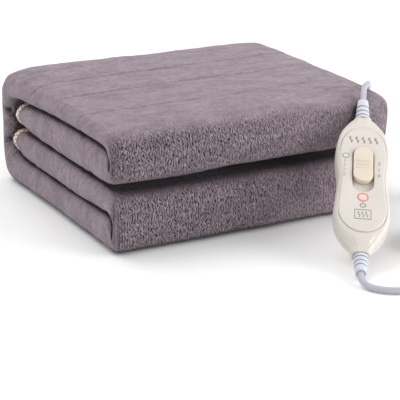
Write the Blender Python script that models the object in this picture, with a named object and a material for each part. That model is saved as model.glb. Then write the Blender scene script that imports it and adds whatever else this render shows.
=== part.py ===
"""An electric heated blanket, folded for storage, with its hand controller and mains lead.

One quilted pile sheet is folded twice along X, which makes a band four plies thick with its closed
fold at the left end. The band is then folded along Y in a C: both bound ends come back to the rear,
one above the other, behind the two front folds. The lead comes out of the right end, over the top,
and down to the hand controller, which stands in front of the stack.

Metres, +X along the front of the stack, +Y to its back, +Z up. The origin is the middle of the
stack's foot.
"""
import math
from collections import namedtuple

import bmesh
import bpy
from mathutils import Vector

# Driving dimensions
STACK_WIDTH = 0.300
STACK_DEPTH = 0.270
STACK_HEIGHT = 0.1165
BINDING_WIDTH = 0.008
CONTROLLER_UNIT = 1.08 * 0.001    # one unit of the controller's own tables, which suit a 155 mm body
CONTROLLER_THICKNESS = 0.0235
CONTROLLER_SLOPE = math.radians(30)
CONTROLLER_TURN = math.radians(24)
CONTROLLER_LEAN = math.radians(8)
CONTROLLER_MIDDLE = Vector((0.0720, -0.2022, 0.0440))
LEAD_RADIUS = 0.00285
RELIEF_LENGTH = 0.024
COIL_RADIUS = 0.0325
COIL_CENTRE = Vector((0.1435, -0.2575, 0.0))
MM = 0.001
GAP = 0.0003


# ---------------------------------------------------------------- common tools

def clear_scene():
    for item in list(bpy.data.objects):
        bpy.data.objects.remove(item)


def material(name, colour, roughness, metallic=0.0):
    made = bpy.data.materials.new(name)
    made.use_nodes = True
    shader = made.node_tree.nodes["Principled BSDF"]
    shader.inputs["Base Color"].default_value = (*colour, 1.0)
    shader.inputs["Roughness"].default_value = roughness
    shader.inputs["Metallic"].default_value = metallic
    return made


def add_object(name, data, finish, smooth_angle=None):
    made = bpy.data.objects.new(name, data)
    bpy.context.scene.collection.objects.link(made)
    data.materials.append(finish)
    if smooth_angle is not None:
        data.shade_smooth()
        data.set_sharp_from_angle(angle=math.radians(smooth_angle))
    return made


def mesh_from(name, shape):
    """The bmesh as a mesh, with its faces pointing out."""
    bmesh.ops.recalc_face_normals(shape, faces=shape.faces)
    data = bpy.data.meshes.new(name)
    shape.to_mesh(data)
    shape.free()
    return data


def catmull(before, start, end, after, share):
    """A point on the smooth curve between start and end."""
    return 0.5 * (
        2 * start
        + (end - before) * share
        + (2 * before - 5 * start + 4 * end - after) * share ** 2
        + (3 * start - before - 3 * end + after) * share ** 3
    )


def smooth_rows(rows, steps):
    """Rows of vectors, smoothed: steps[i] intervals between row i and row i + 1."""
    ends = [2 * rows[0] - rows[1]] + list(rows) + [2 * rows[-1] - rows[-2]]
    smoothed = []
    for index, count in enumerate(steps[:len(rows) - 1]):
        for step in range(count):
            smoothed.append(catmull(*ends[index:index + 4], step / count))
    return smoothed + [rows[-1].copy()]


def evenly(points, spacing):
    """The smooth curve through the points, as points about one spacing apart."""
    fine = smooth_rows(points, [24] * len(points))
    run = [0.0]
    for near, far in zip(fine, fine[1:]):
        run.append(run[-1] + (far - near).length)
    count = max(2, round(run[-1] / spacing))
    even = []
    place = 0
    for step in range(count + 1):
        target = run[-1] * step / count
        while place < len(run) - 2 and run[place + 1] < target:
            place += 1
        share = (target - run[place]) / (run[place + 1] - run[place])
        even.append(fine[place].lerp(fine[place + 1], min(share, 1.0)))
    return even


def loft(rings, closed_ends=True):
    """A closed body through rings that have the same number of points."""
    shape = bmesh.new()
    loops = [[shape.verts.new(point) for point in ring] for ring in rings]
    for low, high in zip(loops, loops[1:]):
        for index in range(len(low)):
            after = (index + 1) % len(low)
            shape.faces.new((low[index], low[after], high[after], high[index]))
    if closed_ends:
        shape.faces.new(loops[0])
        shape.faces.new(loops[-1])
    return shape


def tapered_sweep(path, radii, sides):
    """A round closed body along a path, with its own radius at each point."""
    rings = []
    tangent = (path[1] - path[0]).normalized()
    side = tangent.orthogonal().normalized()
    for index, (point, radius) in enumerate(zip(path, radii)):
        ahead = path[min(index + 1, len(path) - 1)] - path[max(index - 1, 0)]
        turn = tangent.rotation_difference(ahead.normalized())
        side = turn @ side
        tangent = ahead.normalized()
        other = tangent.cross(side)
        angles = [2 * math.pi * step / sides for step in range(sides)]
        rings.append([point + radius * (math.cos(a) * side + math.sin(a) * other) for a in angles])
    return loft(rings)


# ---------------------------------------------------------------- the folded sheet

Fold = namedtuple("Fold", "place inner_y inner_z outer_y outer_z steps")
# The band's path, in millimetres from the middle of the stack's foot. Inner is the side that faces
# the creases and the hollow, outer the side that shows. Steps are the sections to the next row.
FOLDS = (
    Fold("upper band, bound end", 87, 92.0, 87, 64.5, 1),
    Fold("upper band, rear", 70, 95.2, 70, 62.6, 2),
    Fold("upper band, middle", 0, 96.0, 0, 62.2, 2),
    Fold("upper band, front", -85, 96.8, -90, 63.0, 1),
    Fold("upper hook, start", -112, 95.4, -113, 63.8, 1),
    Fold("upper hook, back", -121.5, 88.5, -126, 66.5, 1),
    Fold("upper hook, tip", -122.5, 82.0, -134, 72.5, 1),
    Fold("upper face, low", -124.2, 86.5, -136.5, 85.0, 1),
    Fold("upper face, high", -121.6, 92.8, -133, 98.0, 1),
    Fold("upper shoulder", -113.5, 97.4, -125, 109.0, 1),
    Fold("top, front", -90, 98.8, -104, 114.5, 1),
    Fold("top, front quarter", -45, 98.4, -50, 116.3, 2),
    Fold("top, middle", 10, 98.2, 10, 116.5, 2),
    Fold("top, rear quarter", 62, 98.0, 66, 116.5, 1),
    Fold("top, rear", 96, 96.5, 113, 116.4, 1),
    Fold("wrap, shoulder", 107, 89.0, 132, 110.5, 1),
    Fold("wrap, upper", 113, 77.0, 137.8, 92.0, 1),
    Fold("wrap, middle", 110, 62.0, 138.3, 61.0, 1),
    Fold("wrap, lower", 114, 48.0, 137.5, 28.0, 1),
    Fold("wrap, foot", 109, 37.0, 131, 6.5, 1),
    Fold("bottom, rear", 96, 31.0, 114, 0.0, 1),
    Fold("bottom, rear quarter", 60, 30.6, 64, 0.0, 2),
    Fold("bottom, middle", 0, 30.4, 0, 0.0, 2),
    Fold("bottom, front", -85, 32.4, -92, 0.0, 1),
    Fold("lower hook, start", -113, 33.6, -116, 0.0, 1),
    Fold("lower hook, back", -124, 29.0, -130, 1.2, 1),
    Fold("lower hook, tip", -126, 18.0, -136.5, 7.5, 1),
    Fold("lower face, low", -127.8, 22.5, -138.5, 21.0, 1),
    Fold("lower face, high", -126, 31.5, -137, 38.0, 1),
    Fold("lower shoulder", -114, 35.8, -129, 51.5, 1),
    Fold("lower band, front", -88, 34.6, -106, 59.0, 1),
    Fold("lower band, front quarter", -45, 32.6, -52, 60.4, 2),
    Fold("lower band, middle", 5, 32.2, 5, 60.8, 2),
    Fold("lower band, rear", 78, 32.8, 78, 60.4, 1),
    Fold("lower band, bound end", 96, 35.0, 96, 58.6, 0),
)
PLIES = 4
PLY_SLACK = 0.012         # share of the band's thickness that each ply gives up on a side
FOLD_DEPTH = 9 * MM       # how far the closed left end is drawn out along X
FOLD_WALL = 4.4 * MM      # cloth round that fold
FOLD_SLIP = 0.7 * MM      # air between the outer fold and the one nested in it
HEM_SETBACK = 3 * MM      # the cut plies end short of the closed right fold
RUN_PLACES = (-0.100, 0.0, 0.096, 0.124)

Corner = namedtuple("Corner", "x_side y_side upper_radius lower_radius")
CORNERS = (
    Corner(1, -1, 0.015, 0.014),
    Corner(-1, -1, 0.008, 0.007),
    Corner(1, 1, 0.018, 0.016),
    Corner(-1, 1, 0.009, 0.009),
)
WAIST = 61.5 * MM         # height of the gap between the two bundles


def settle(point):
    """Where a point of the ideal stack lies once its corners slump and its layers give a little."""
    x, y, z = point
    for corner in CORNERS:
        radius = corner.upper_radius if z > WAIST else corner.lower_radius
        across = corner.x_side * x - (STACK_WIDTH / 2 - radius)
        along = corner.y_side * y - (STACK_DEPTH / 2 - radius)
        if across > 0 and along > 0:
            pull = max(across, along) / math.hypot(across, along)
            x += corner.x_side * across * (pull - 1)
            y += corner.y_side * along * (pull - 1)
    height = max(0.0, min(1.0, z / STACK_HEIGHT))
    dip = math.exp(-((x + 0.075) / 0.055) ** 2)
    z -= 1.5 * MM * dip * 4 * height * (1 - height)
    right_end = max(0.0, (x - 0.105) / 0.045)
    z -= 1.6 * MM * right_end ** 2 * height
    bulge = math.exp(-((z - 0.090) / 0.024) ** 2)
    x += 4.5 * MM * right_end ** 2 * bulge
    rear = max(0.0, min(1.0, 2 * y / STACK_DEPTH))
    left_end = max(0.0, min(1.0, (0.06 - x) / 0.16))
    z += 3.2 * MM * left_end * rear * height ** 2
    x -= 3.7 * MM * left_end ** 3 * rear ** 2
    y += 1.2 * MM * math.sin(14 * x + 1.1) * height * (1 - abs(y) / STACK_DEPTH)
    return Vector((x, y, z))


def half_round(tip, base, low, high, count):
    """Points between (base, low) and (base, high), bulging out to the tip at mid height."""
    points = []
    for step in range(1, count + 1):
        angle = math.pi * (step / (count + 1) - 0.5)
        points.append((base + (tip - base) * math.cos(angle), (low + high + (high - low) * math.sin(angle)) / 2))
    return points


def band_section():
    """One closed outline of the four plies, as (x, share of the way from the inner to the outer side)."""
    left = -STACK_WIDTH / 2
    right = STACK_WIDTH / 2
    hem = right - HEM_SETBACK
    ply = 1 / PLIES
    outer_base = left + FOLD_DEPTH
    wrap_tip = left + FOLD_WALL
    wrap_base = wrap_tip + 6 * MM
    nest_tip = wrap_tip + FOLD_SLIP
    nest_base = nest_tip + 6 * MM
    core_tip = nest_tip + FOLD_WALL
    core_base = core_tip + 1.5 * MM
    turn_base = right - 8 * MM
    turn_core = right - 5 * MM
    turn_core_base = turn_core - 1.5 * MM

    def run(start, end, level):
        places = [x for x in RUN_PLACES if min(start, end) + 2 * MM < x < max(start, end) - 2 * MM]
        ordered = sorted(places, reverse=end < start)
        return [(start, level)] + [(x, level) for x in ordered] + [(end, level)]

    outline = run(hem, outer_base, 0.0)
    outline += half_round(left, outer_base, 0.0, 1.0, 5)
    outline += run(outer_base, turn_base, 1.0)
    outline += half_round(right, turn_base, 1.0, 2 * ply + PLY_SLACK, 5)
    outline += run(turn_base, core_base, 2 * ply + PLY_SLACK)
    outline += half_round(core_tip, core_base, 2 * ply + PLY_SLACK, 2 * ply - PLY_SLACK, 1)
    outline += run(core_base, hem, 2 * ply - PLY_SLACK)
    outline += run(hem, nest_base, ply + PLY_SLACK)
    outline += half_round(nest_tip, nest_base, ply + PLY_SLACK, 3 * ply - PLY_SLACK, 3)
    outline += run(nest_base, turn_core_base, 3 * ply - PLY_SLACK)
    outline += half_round(turn_core, turn_core_base, 3 * ply - PLY_SLACK, 3 * ply + PLY_SLACK, 1)
    outline += run(turn_core_base, wrap_base, 3 * ply + PLY_SLACK)
    outline += half_round(wrap_tip, wrap_base, 3 * ply + PLY_SLACK, ply - PLY_SLACK, 3)
    outline += run(wrap_base, hem, ply - PLY_SLACK)
    return outline


def band_stations():
    """The path's sections, each as its inner and outer point in the YZ plane."""
    inner = [Vector((0, row.inner_y, row.inner_z)) * MM for row in FOLDS]
    outer = [Vector((0, row.outer_y, row.outer_z)) * MM for row in FOLDS]
    steps = [row.steps for row in FOLDS]
    stations = []
    for near, far in zip(smooth_rows(inner, steps), smooth_rows(outer, steps)):
        far.z = min(max(far.z, 0.0), STACK_HEIGHT)
        stations.append((near, far))
    return stations


def band_ring(station, section, growth=0.0):
    """The section set between a station's inner and outer point, grown outwards a little."""
    inner, outer = station
    reach = (outer - inner).normalized() * growth
    low = inner - reach
    high = outer + reach
    ring = []
    for x, share in section:
        point = low.lerp(high, share)
        point.x = x
        ring.append(settle(point))
    return ring


def make_blanket(finish):
    section = band_section()
    rings = [band_ring(station, section) for station in band_stations()]
    return add_object("blanket", mesh_from("blanket", loft(rings)), finish, smooth_angle=50)


def make_binding(name, stations, finish):
    """The bound edge: it carries the four plies on by the binding's width, a little thicker."""
    end, before = stations
    heading = ((end[0] + end[1]) - (before[0] + before[1])).normalized()
    section = band_section()
    rings = []
    for run, growth in ((0.6 * MM, 0.0), (2 * MM, 0.5 * MM), (6 * MM, 0.5 * MM), (BINDING_WIDTH, -0.6 * MM)):
        moved = (end[0] + heading * run, end[1] + heading * run)
        rings.append(band_ring(moved, section, growth))
    return add_object(name, mesh_from(name, loft(rings)), finish, smooth_angle=50)


# ---------------------------------------------------------------- the hand controller

def controller_axes():
    """Across, along (up the slope) and out of the face, as the controller lies."""
    slope, turn, lean = CONTROLLER_SLOPE, CONTROLLER_TURN, CONTROLLER_LEAN
    across = Vector((math.cos(turn), -math.sin(turn), 0))
    along = Vector((math.cos(slope) * math.sin(turn), math.cos(slope) * math.cos(turn), math.sin(slope)))
    out = across.cross(along)
    leant_along = along * math.cos(lean) + across * math.sin(lean)
    leant_across = across * math.cos(lean) - along * math.sin(lean)
    return leant_across, leant_along, out


ACROSS, ALONG, OUT = controller_axes()


def on_controller(across, along, out):
    """A point given in the controller's own units, from the middle of its back."""
    return CONTROLLER_MIDDLE + (ACROSS * across + ALONG * along + OUT * out) * CONTROLLER_UNIT


Width = namedtuple("Width", "along half_width")
HOUSING_WIDTHS = (
    Width(77.5, 7.6), Width(74.5, 8.6), Width(71.5, 11.6), Width(62, 17.2), Width(51, 21.2),
    Width(36, 23.4), Width(20, 23.0), Width(3, 21.4), Width(-15, 22.6), Width(-35, 24.0),
    Width(-50, 21.8), Width(-63, 15.6), Width(-70, 10.4), Width(-74.5, 8.4), Width(-77.5, 7.6),
)
PLATE_WIDTHS = (
    Width(59.0, 3.0), Width(57.4, 8.4), Width(52.5, 13.8), Width(44, 18.0), Width(33, 20.0),
    Width(20, 19.8), Width(3, 18.2), Width(-15, 19.2), Width(-34, 20.6), Width(-46, 18.4),
    Width(-54, 12.8), Width(-58, 7.0), Width(-59.0, 3.0),
)
HALF_THICKNESS = CONTROLLER_THICKNESS / MM / 2
FACE = 22.0               # millimetres from the back to the rim of the face
PLATE_TOP = 22.9
POCKET = 19.0
NECK_RADIUS = 7.4


def waisted_outline(widths, steps):
    """Half an outline's (along, half width) rows, smoothed and mirrored into a closed loop."""
    rows = [Vector((row.along, row.half_width, 0)) for row in widths]
    half = smooth_rows(rows, [steps] * len(rows))
    return [(v.y, v.x) for v in half] + [(-v.y, v.x) for v in reversed(half)]


def inset_outline(outline, inset):
    """The outline drawn in: across by the inset, and along in proportion."""
    longest = max(along for _, along in outline)
    shrink = (longest - 0.35 * inset) / longest
    return [
        (math.copysign(max(abs(across) - inset, 1.0), across), along * shrink)
        for across, along in outline
    ]


def necked(out, along):
    """Thin the body towards its round necks: the half thickness eases down to the neck's radius."""
    ease = min(max((abs(along) - 52) / 22, 0.0), 1.0)
    ease = ease * ease * (3 - 2 * ease)
    squeeze = 1 - ease * (1 - NECK_RADIUS / HALF_THICKNESS)
    return HALF_THICKNESS + (out - HALF_THICKNESS) * squeeze


def shell(name, levels, finish):
    """A body lofted through (out, inset) levels of the housing's outline."""
    outline = waisted_outline(HOUSING_WIDTHS, 3)
    rings = []
    for out, inset in levels:
        ring = inset_outline(outline, inset)
        rings.append([on_controller(a, b, necked(out, b)) for a, b in ring])
    return add_object(name, mesh_from(name, loft(rings)), finish, smooth_angle=35)


def prism(name, outline, levels):
    """A straight body over an outline, through (out, inset) levels."""
    rings = []
    for out, inset in levels:
        rings.append([on_controller(a, b, out) for a, b in inset_outline(outline, inset)])
    return mesh_from(name, loft(rings))


def stadium(half_width, top, bottom, arc_steps):
    """A slot's outline with half-round ends, between two places along the controller."""
    outline = []
    for centre, start in ((top - half_width, 0.0), (bottom + half_width, math.pi)):
        for step in range(arc_steps + 1):
            angle = start + math.pi * step / arc_steps
            outline.append((half_width * math.cos(angle), centre + half_width * math.sin(angle)))
    return outline


def stadium_body(outline, levels, middle):
    """A body over a slot outline; each level is drawn in evenly round the outline's middle."""
    rings = []
    for out, inset in levels:
        ring = []
        for across, along in outline:
            reach = math.hypot(across, along - middle)
            keep = (reach - inset) / reach
            ring.append(on_controller(across * keep, middle + (along - middle) * keep, out))
        rings.append(ring)
    return loft(rings)


def cutter(name, data):
    made = bpy.data.objects.new(name, data)
    bpy.context.scene.collection.objects.link(made)
    made.hide_render = True
    made.display_type = "WIRE"
    return made


def cut(target, tool):
    modifier = target.modifiers.new(tool.name, "BOOLEAN")
    modifier.operation = "DIFFERENCE"
    modifier.solver = "EXACT"
    modifier.object = tool


SLOT_TOP = 35.4
SLOT_BOTTOM = -15.4
SLOT_HALF_WIDTH = 9.2
KNOB_TOP = 34.4
KNOB_BOTTOM = -4.8
KNOB_HALF_WIDTH = 8.5
KNOB_HEIGHT = 25.2
POWER_LAMP = (0.0, -21.8)
POWER_LAMP_RADIUS = 4.4
SETTING_LAMP = (-15.2, 24.8)
SETTING_LAMP_RADIUS = 2.7


def disc(name, place, radius, levels, sides=24):
    """A round body on the face at an (across, along) place, through (out, inset) levels."""
    rings = []
    for out, inset in levels:
        ring = []
        for step in range(sides):
            angle = 2 * math.pi * step / sides
            reach = radius - inset
            ring.append(on_controller(place[0] + reach * math.cos(angle),
                                      place[1] + reach * math.sin(angle), out))
        rings.append(ring)
    return mesh_from(name, loft(rings))


def make_housing(finish):
    shell("controller_back", ((0.0, 5.4), (0.9, 3.0), (2.6, 1.2), (5.4, 0.2), (9.0, 0.0), (11.7, 0.0), (12.0, 0.5)),
          finish)
    front = shell("controller_front", ((12.3, 0.5), (12.6, 0.0), (17.0, 0.2), (19.6, 0.8), (21.2, 1.7), (FACE, 3.1)),
                  finish)
    plate_outline = waisted_outline(PLATE_WIDTHS, 3)
    pocket = prism("pocket_cutter", plate_outline, ((POCKET, 0.0), (FACE + 3, -0.35)))
    cut(front, cutter("pocket_cutter", pocket))
    return plate_outline


def make_plate(outline, finish):
    levels = ((POCKET + 0.3, 0.4), (PLATE_TOP - 0.9, 0.4), (PLATE_TOP - 0.25, 0.75), (PLATE_TOP, 1.5))
    plate = add_object("controller_plate", prism("controller_plate", outline, levels), finish, smooth_angle=35)
    slot = stadium(SLOT_HALF_WIDTH, SLOT_TOP, SLOT_BOTTOM, 12)
    middle = (SLOT_TOP + SLOT_BOTTOM) / 2
    slot_data = mesh_from("slot_cutter", stadium_body(slot, ((POCKET - 1, 0.0), (PLATE_TOP + 2, 0.0)), middle))
    cut(plate, cutter("slot_cutter", slot_data))
    for name, place, radius in (("power", POWER_LAMP, POWER_LAMP_RADIUS),
                                ("setting", SETTING_LAMP, SETTING_LAMP_RADIUS)):
        hole = disc(name + "_cutter", place, radius + 0.3, ((POCKET - 1, 0.0), (PLATE_TOP + 2, 0.0)))
        cut(plate, cutter(name + "_cutter", hole))


def make_lamps(red, clear):
    base = POCKET + 0.3
    levels = ((base, 0.0), (PLATE_TOP - 0.1, 0.0), (PLATE_TOP + 0.3, 0.5), (PLATE_TOP + 0.5, 1.6))
    add_object("lamp_power", disc("lamp_power", POWER_LAMP, POWER_LAMP_RADIUS, levels), red, 35)
    add_object("lamp_setting", disc("lamp_setting", SETTING_LAMP, SETTING_LAMP_RADIUS, levels), clear, 35)


def make_slider(finish):
    """The three-step switch: a stadium knob with finger ridges, on the slot's floor."""
    outline = stadium(KNOB_HALF_WIDTH, KNOB_TOP, KNOB_BOTTOM, 12)
    middle = (KNOB_TOP + KNOB_BOTTOM) / 2
    levels = ((POCKET + 0.3, 0.0), (KNOB_HEIGHT - 1.5, 0.0), (KNOB_HEIGHT - 0.5, 0.4), (KNOB_HEIGHT, 1.3))
    knob = add_object("slider", mesh_from("slider", stadium_body(outline, levels, middle)), finish, 35)
    for index, along in enumerate((middle + 3.6, middle + 0.3, middle - 3.0)):
        name = f"ridge_cutter_{index}"
        groove = [(-7.0, along - 0.45), (7.0, along - 0.45), (7.0, along + 0.45), (-7.0, along + 0.45)]
        rings = [[on_controller(a, b, out) for a, b in groove] for out in (KNOB_HEIGHT - 0.8, KNOB_HEIGHT + 1)]
        cut(knob, cutter(name, mesh_from(name, loft(rings))))
    return knob


# ---------------------------------------------------------------- strain reliefs, leads, coil and plug

RELIEF_SIDES = 20
RELIEF_RINGS = (
    (0.00, 6.9), (0.10, 6.9), (0.14, 5.9), (0.18, 5.9), (0.22, 6.7), (0.34, 6.5), (0.38, 5.3), (0.43, 5.3),
    (0.47, 6.3), (0.58, 6.1), (0.62, 5.0), (0.67, 5.0), (0.71, 5.9), (0.95, 5.5), (1.00, 5.0),
)


def relief(name, path, finish):
    """A moulded sleeve with flexing grooves, along a path that starts at the housing."""
    run = sum((far - near).length for near, far in zip(path, path[1:]))
    points = []
    radii = []
    for share, radius in RELIEF_RINGS:
        points.append(along_path(path, share * run))
        radii.append(radius * MM)
    return add_object(name, mesh_from(name, tapered_sweep(points, radii, RELIEF_SIDES)), finish, 30)


def along_path(path, distance):
    """The point that lies a distance along a chain of points."""
    for near, far in zip(path, path[1:]):
        step = (far - near).length
        if distance <= step:
            return near.lerp(far, distance / step)
        distance -= step
    return path[-1].copy()


def bent_path(start, heading, end_heading, length, steps=16):
    """A path that leaves along heading and turns evenly to end_heading over its length."""
    path = [start.copy()]
    for step in range(steps):
        share = (step + 0.5) / steps
        path.append(path[-1] + heading.slerp(end_heading, share) * (length / steps))
    return path


def tube(name, points, finish):
    """A plain round lead along a chain of points."""
    data = bpy.data.curves.new(name, "CURVE")
    data.dimensions = "3D"
    data.bevel_depth = LEAD_RADIUS
    data.bevel_resolution = 3
    data.use_fill_caps = True
    spline = data.splines.new("POLY")
    spline.points.add(len(points) - 1)
    for slot, point in zip(spline.points, points):
        slot.co = (*point, 1.0)
    return add_object(name, data, finish)


NECK_TOP = on_controller(0, 77.5, HALF_THICKNESS)
NECK_FOOT = on_controller(0, -77.5, HALF_THICKNESS)
UPPER_RELIEF_END = (ALONG + Vector((0.10, 0.10, 0.55))).normalized()
LOWER_RELIEF_END = Vector((-ALONG.x, -ALONG.y, -0.06)).normalized()
UPPER_RELIEF = bent_path(NECK_TOP + ALONG * GAP, ALONG, UPPER_RELIEF_END, RELIEF_LENGTH)
LOWER_RELIEF = bent_path(NECK_FOOT - ALONG * GAP, -ALONG, LOWER_RELIEF_END, RELIEF_LENGTH)

# The lead from the blanket's right end: down to the surface, up the end, over the top and down
# to the controller.
ENTRY_FACE = Vector((0.1476, 0.030, 0.0225))
ENTRY_LENGTH = 0.024
ENTRY_RINGS = (
    (0.0, 8.2), (2.2, 8.2), (2.6, 6.6), (8.0, 6.0), (9.0, 4.9), (10.2, 4.9), (11.2, 5.7),
    (14.0, 5.4), (15.0, 4.5), (16.2, 4.5), (17.2, 5.1), (22.5, 4.6), (24.0, 4.0),
)
BLANKET_ROUTE = (
    (0.1770, 0.0300, 0.0225),
    (0.1890, 0.0260, 0.0190),
    (0.1965, 0.0140, 0.0105),
    (0.1940, -0.0020, 0.0045),
    (0.1860, -0.0180, 0.0042),
    (0.1775, -0.0320, 0.0100),
    (0.1700, -0.0430, 0.0240),
    (0.1655, -0.0520, 0.0440),
    (0.1640, -0.0600, 0.0640),
    (0.1635, -0.0670, 0.0820),
    (0.1620, -0.0750, 0.0985),
    (0.1572, -0.0845, 0.1105),
    (0.1500, -0.0950, 0.1168),
    (0.1425, -0.1045, 0.1192),
    (0.1345, -0.1130, 0.1207),
    (0.1278, -0.1205, 0.1195),
)
# The mains lead: from the controller's foot it turns right along the surface to the coil, and out
# of the coil to the plug.
MAINS_ROUTE = (
    (0.0125, -0.2973, 0.0042),
    (0.0122, -0.3068, 0.0029),
    (0.0160, -0.3165, 0.0029),
    (0.0240, -0.3245, 0.0029),
    (0.0350, -0.3300, 0.0029),
    (0.0490, -0.3325, 0.0029),
    (0.0670, -0.3310, 0.0030),
    (0.0900, -0.3250, 0.0034),
    (0.1130, -0.3165, 0.0040),
    (0.1385, -0.3052, 0.0045),
)
TAIL_ROUTE = (
    (0.1865, -0.2377, 0.0092),
    (0.1878, -0.2240, 0.0084),
    (0.1893, -0.2100, 0.0077),
)
COIL_COLUMNS = 4
COIL_LAYERS = 2
TURN_PITCH = 2 * LEAD_RADIUS + 0.1 * MM
COIL_BASE = 1.7 * MM      # the tie that passes under the coil lifts it by this
TIE_ANGLE = math.radians(150)
TIE_WIDTH = 8 * MM
TIE_THICKNESS = 0.7 * MM
PLUG_TIP = Vector((0.1916, -0.1940, 0.0074))
PLUG_HEADING = Vector((0.16, 1.0, 0.0)).normalized()
PLUG_RELIEF_LENGTH = 22 * MM
BLADE_LENGTH = 17 * MM
BLADE_SPACING = 12.7 * MM


def make_entry(finish):
    """The moulded entry in the hem of the right end, its flange against the plies."""
    path = [ENTRY_FACE + Vector((out * MM, 0, 0)) for out, _ in ENTRY_RINGS]
    radii = [radius * MM for _, radius in ENTRY_RINGS]
    add_object("cord_entry", mesh_from("cord_entry", tapered_sweep(path, radii, RELIEF_SIDES)), finish, 30)


def make_leads(finish):
    straight = 3 * MM         # each end runs straight into its sleeve over this length
    spacing = 5 * LEAD_RADIUS
    entry_end = ENTRY_FACE + Vector((ENTRY_LENGTH + GAP, 0, 0))
    relief_tip = UPPER_RELIEF[-1] + UPPER_RELIEF_END * GAP
    route = [entry_end + Vector((straight, 0, 0))] + [Vector(point) for point in BLANKET_ROUTE]
    route.append(relief_tip + UPPER_RELIEF_END * straight)
    tube("lead_blanket", [entry_end] + evenly(route, spacing) + [relief_tip], finish)
    foot_tip = LOWER_RELIEF[-1] + LOWER_RELIEF_END * GAP
    route = [foot_tip + LOWER_RELIEF_END * straight] + [Vector(point) for point in MAINS_ROUTE]
    tube("lead_mains", [foot_tip] + evenly(route, spacing), finish)
    tail_end = PLUG_TIP - PLUG_HEADING * GAP
    route = [Vector(point) for point in TAIL_ROUTE] + [tail_end - PLUG_HEADING * straight]
    tube("lead_tail", evenly(route, spacing) + [tail_end], finish)


def rounded_box_outline(half_width, half_height, radius, arc_steps=4):
    """A rounded rectangle's (across, up) points, about its middle."""
    outline = []
    for quarter, (side, level) in enumerate(((1, 1), (-1, 1), (-1, -1), (1, -1))):
        for step in range(arc_steps + 1):
            angle = math.pi / 2 * (quarter + step / arc_steps)
            outline.append((side * (half_width - radius) + radius * math.cos(angle),
                            level * (half_height - radius) + radius * math.sin(angle)))
    return outline


def coil_section():
    """Half the width and half the height of the wound coil's own section."""
    return COIL_COLUMNS * TURN_PITCH / 2, COIL_LAYERS * TURN_PITCH / 2


def make_coil(finish):
    """The wound mains lead as one turned ring."""
    half_width, half_height = coil_section()
    outline = rounded_box_outline(half_width, half_height, LEAD_RADIUS)
    middle = COIL_CENTRE + Vector((0, 0, COIL_BASE + half_height))
    shape = bmesh.new()
    loops = []
    turns = 40
    for step in range(turns):
        angle = 2 * math.pi * step / turns
        outward = Vector((math.cos(angle), math.sin(angle), 0))
        loops.append([shape.verts.new(middle + outward * (COIL_RADIUS + a) + Vector((0, 0, up)))
                      for a, up in outline])
    for step in range(turns):
        near = loops[step]
        far = loops[(step + 1) % turns]
        for index in range(len(outline)):
            after = (index + 1) % len(outline)
            shape.faces.new((near[index], near[after], far[after], far[index]))
    add_object("lead_coil", mesh_from("lead_coil", shape), finish, 40)


def make_tie(finish):
    """A strap round the coil's section."""
    half_width, half_height = coil_section()
    outward = Vector((math.cos(TIE_ANGLE), math.sin(TIE_ANGLE), 0))
    sideways = Vector((-outward.y, outward.x, 0))
    middle = COIL_CENTRE + outward * COIL_RADIUS + Vector((0, 0, COIL_BASE + half_height))
    slack = 0.8 * MM
    shape = bmesh.new()
    loops = []
    for growth in (slack, slack + TIE_THICKNESS):
        outline = rounded_box_outline(half_width + growth, half_height + growth, LEAD_RADIUS + growth)
        for side in (-1, 1):
            loops.append([shape.verts.new(middle + outward * a + Vector((0, 0, up)) + sideways * side * TIE_WIDTH / 2)
                          for a, up in outline])
    for low, high in ((0, 1), (1, 3), (3, 2), (2, 0)):
        for index in range(len(loops[0])):
            after = (index + 1) % len(loops[0])
            shape.faces.new((loops[low][index], loops[low][after], loops[high][after], loops[high][index]))
    add_object("coil_tie", mesh_from("coil_tie", shape), finish, 40)


PLUG_RELIEF_RINGS = (
    (0.00, 3.9), (0.06, 4.3), (0.22, 4.5), (0.26, 3.9), (0.32, 3.9), (0.36, 4.8), (0.50, 5.0),
    (0.54, 4.3), (0.60, 4.3), (0.64, 5.3), (0.80, 5.6), (1.00, 5.9),
)
# The plug's moulded body: distance from its rear, half width and half height, in millimetres.
PLUG_SECTIONS = (
    (0.0, 7.0, 5.6), (1.2, 8.6, 6.4), (5.0, 10.4, 7.0), (12.0, 11.0, 7.1), (20.0, 10.4, 7.0),
    (26.0, 11.8, 7.1), (31.0, 12.6, 7.1), (33.0, 12.2, 6.7), (33.8, 11.2, 5.9),
)


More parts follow.
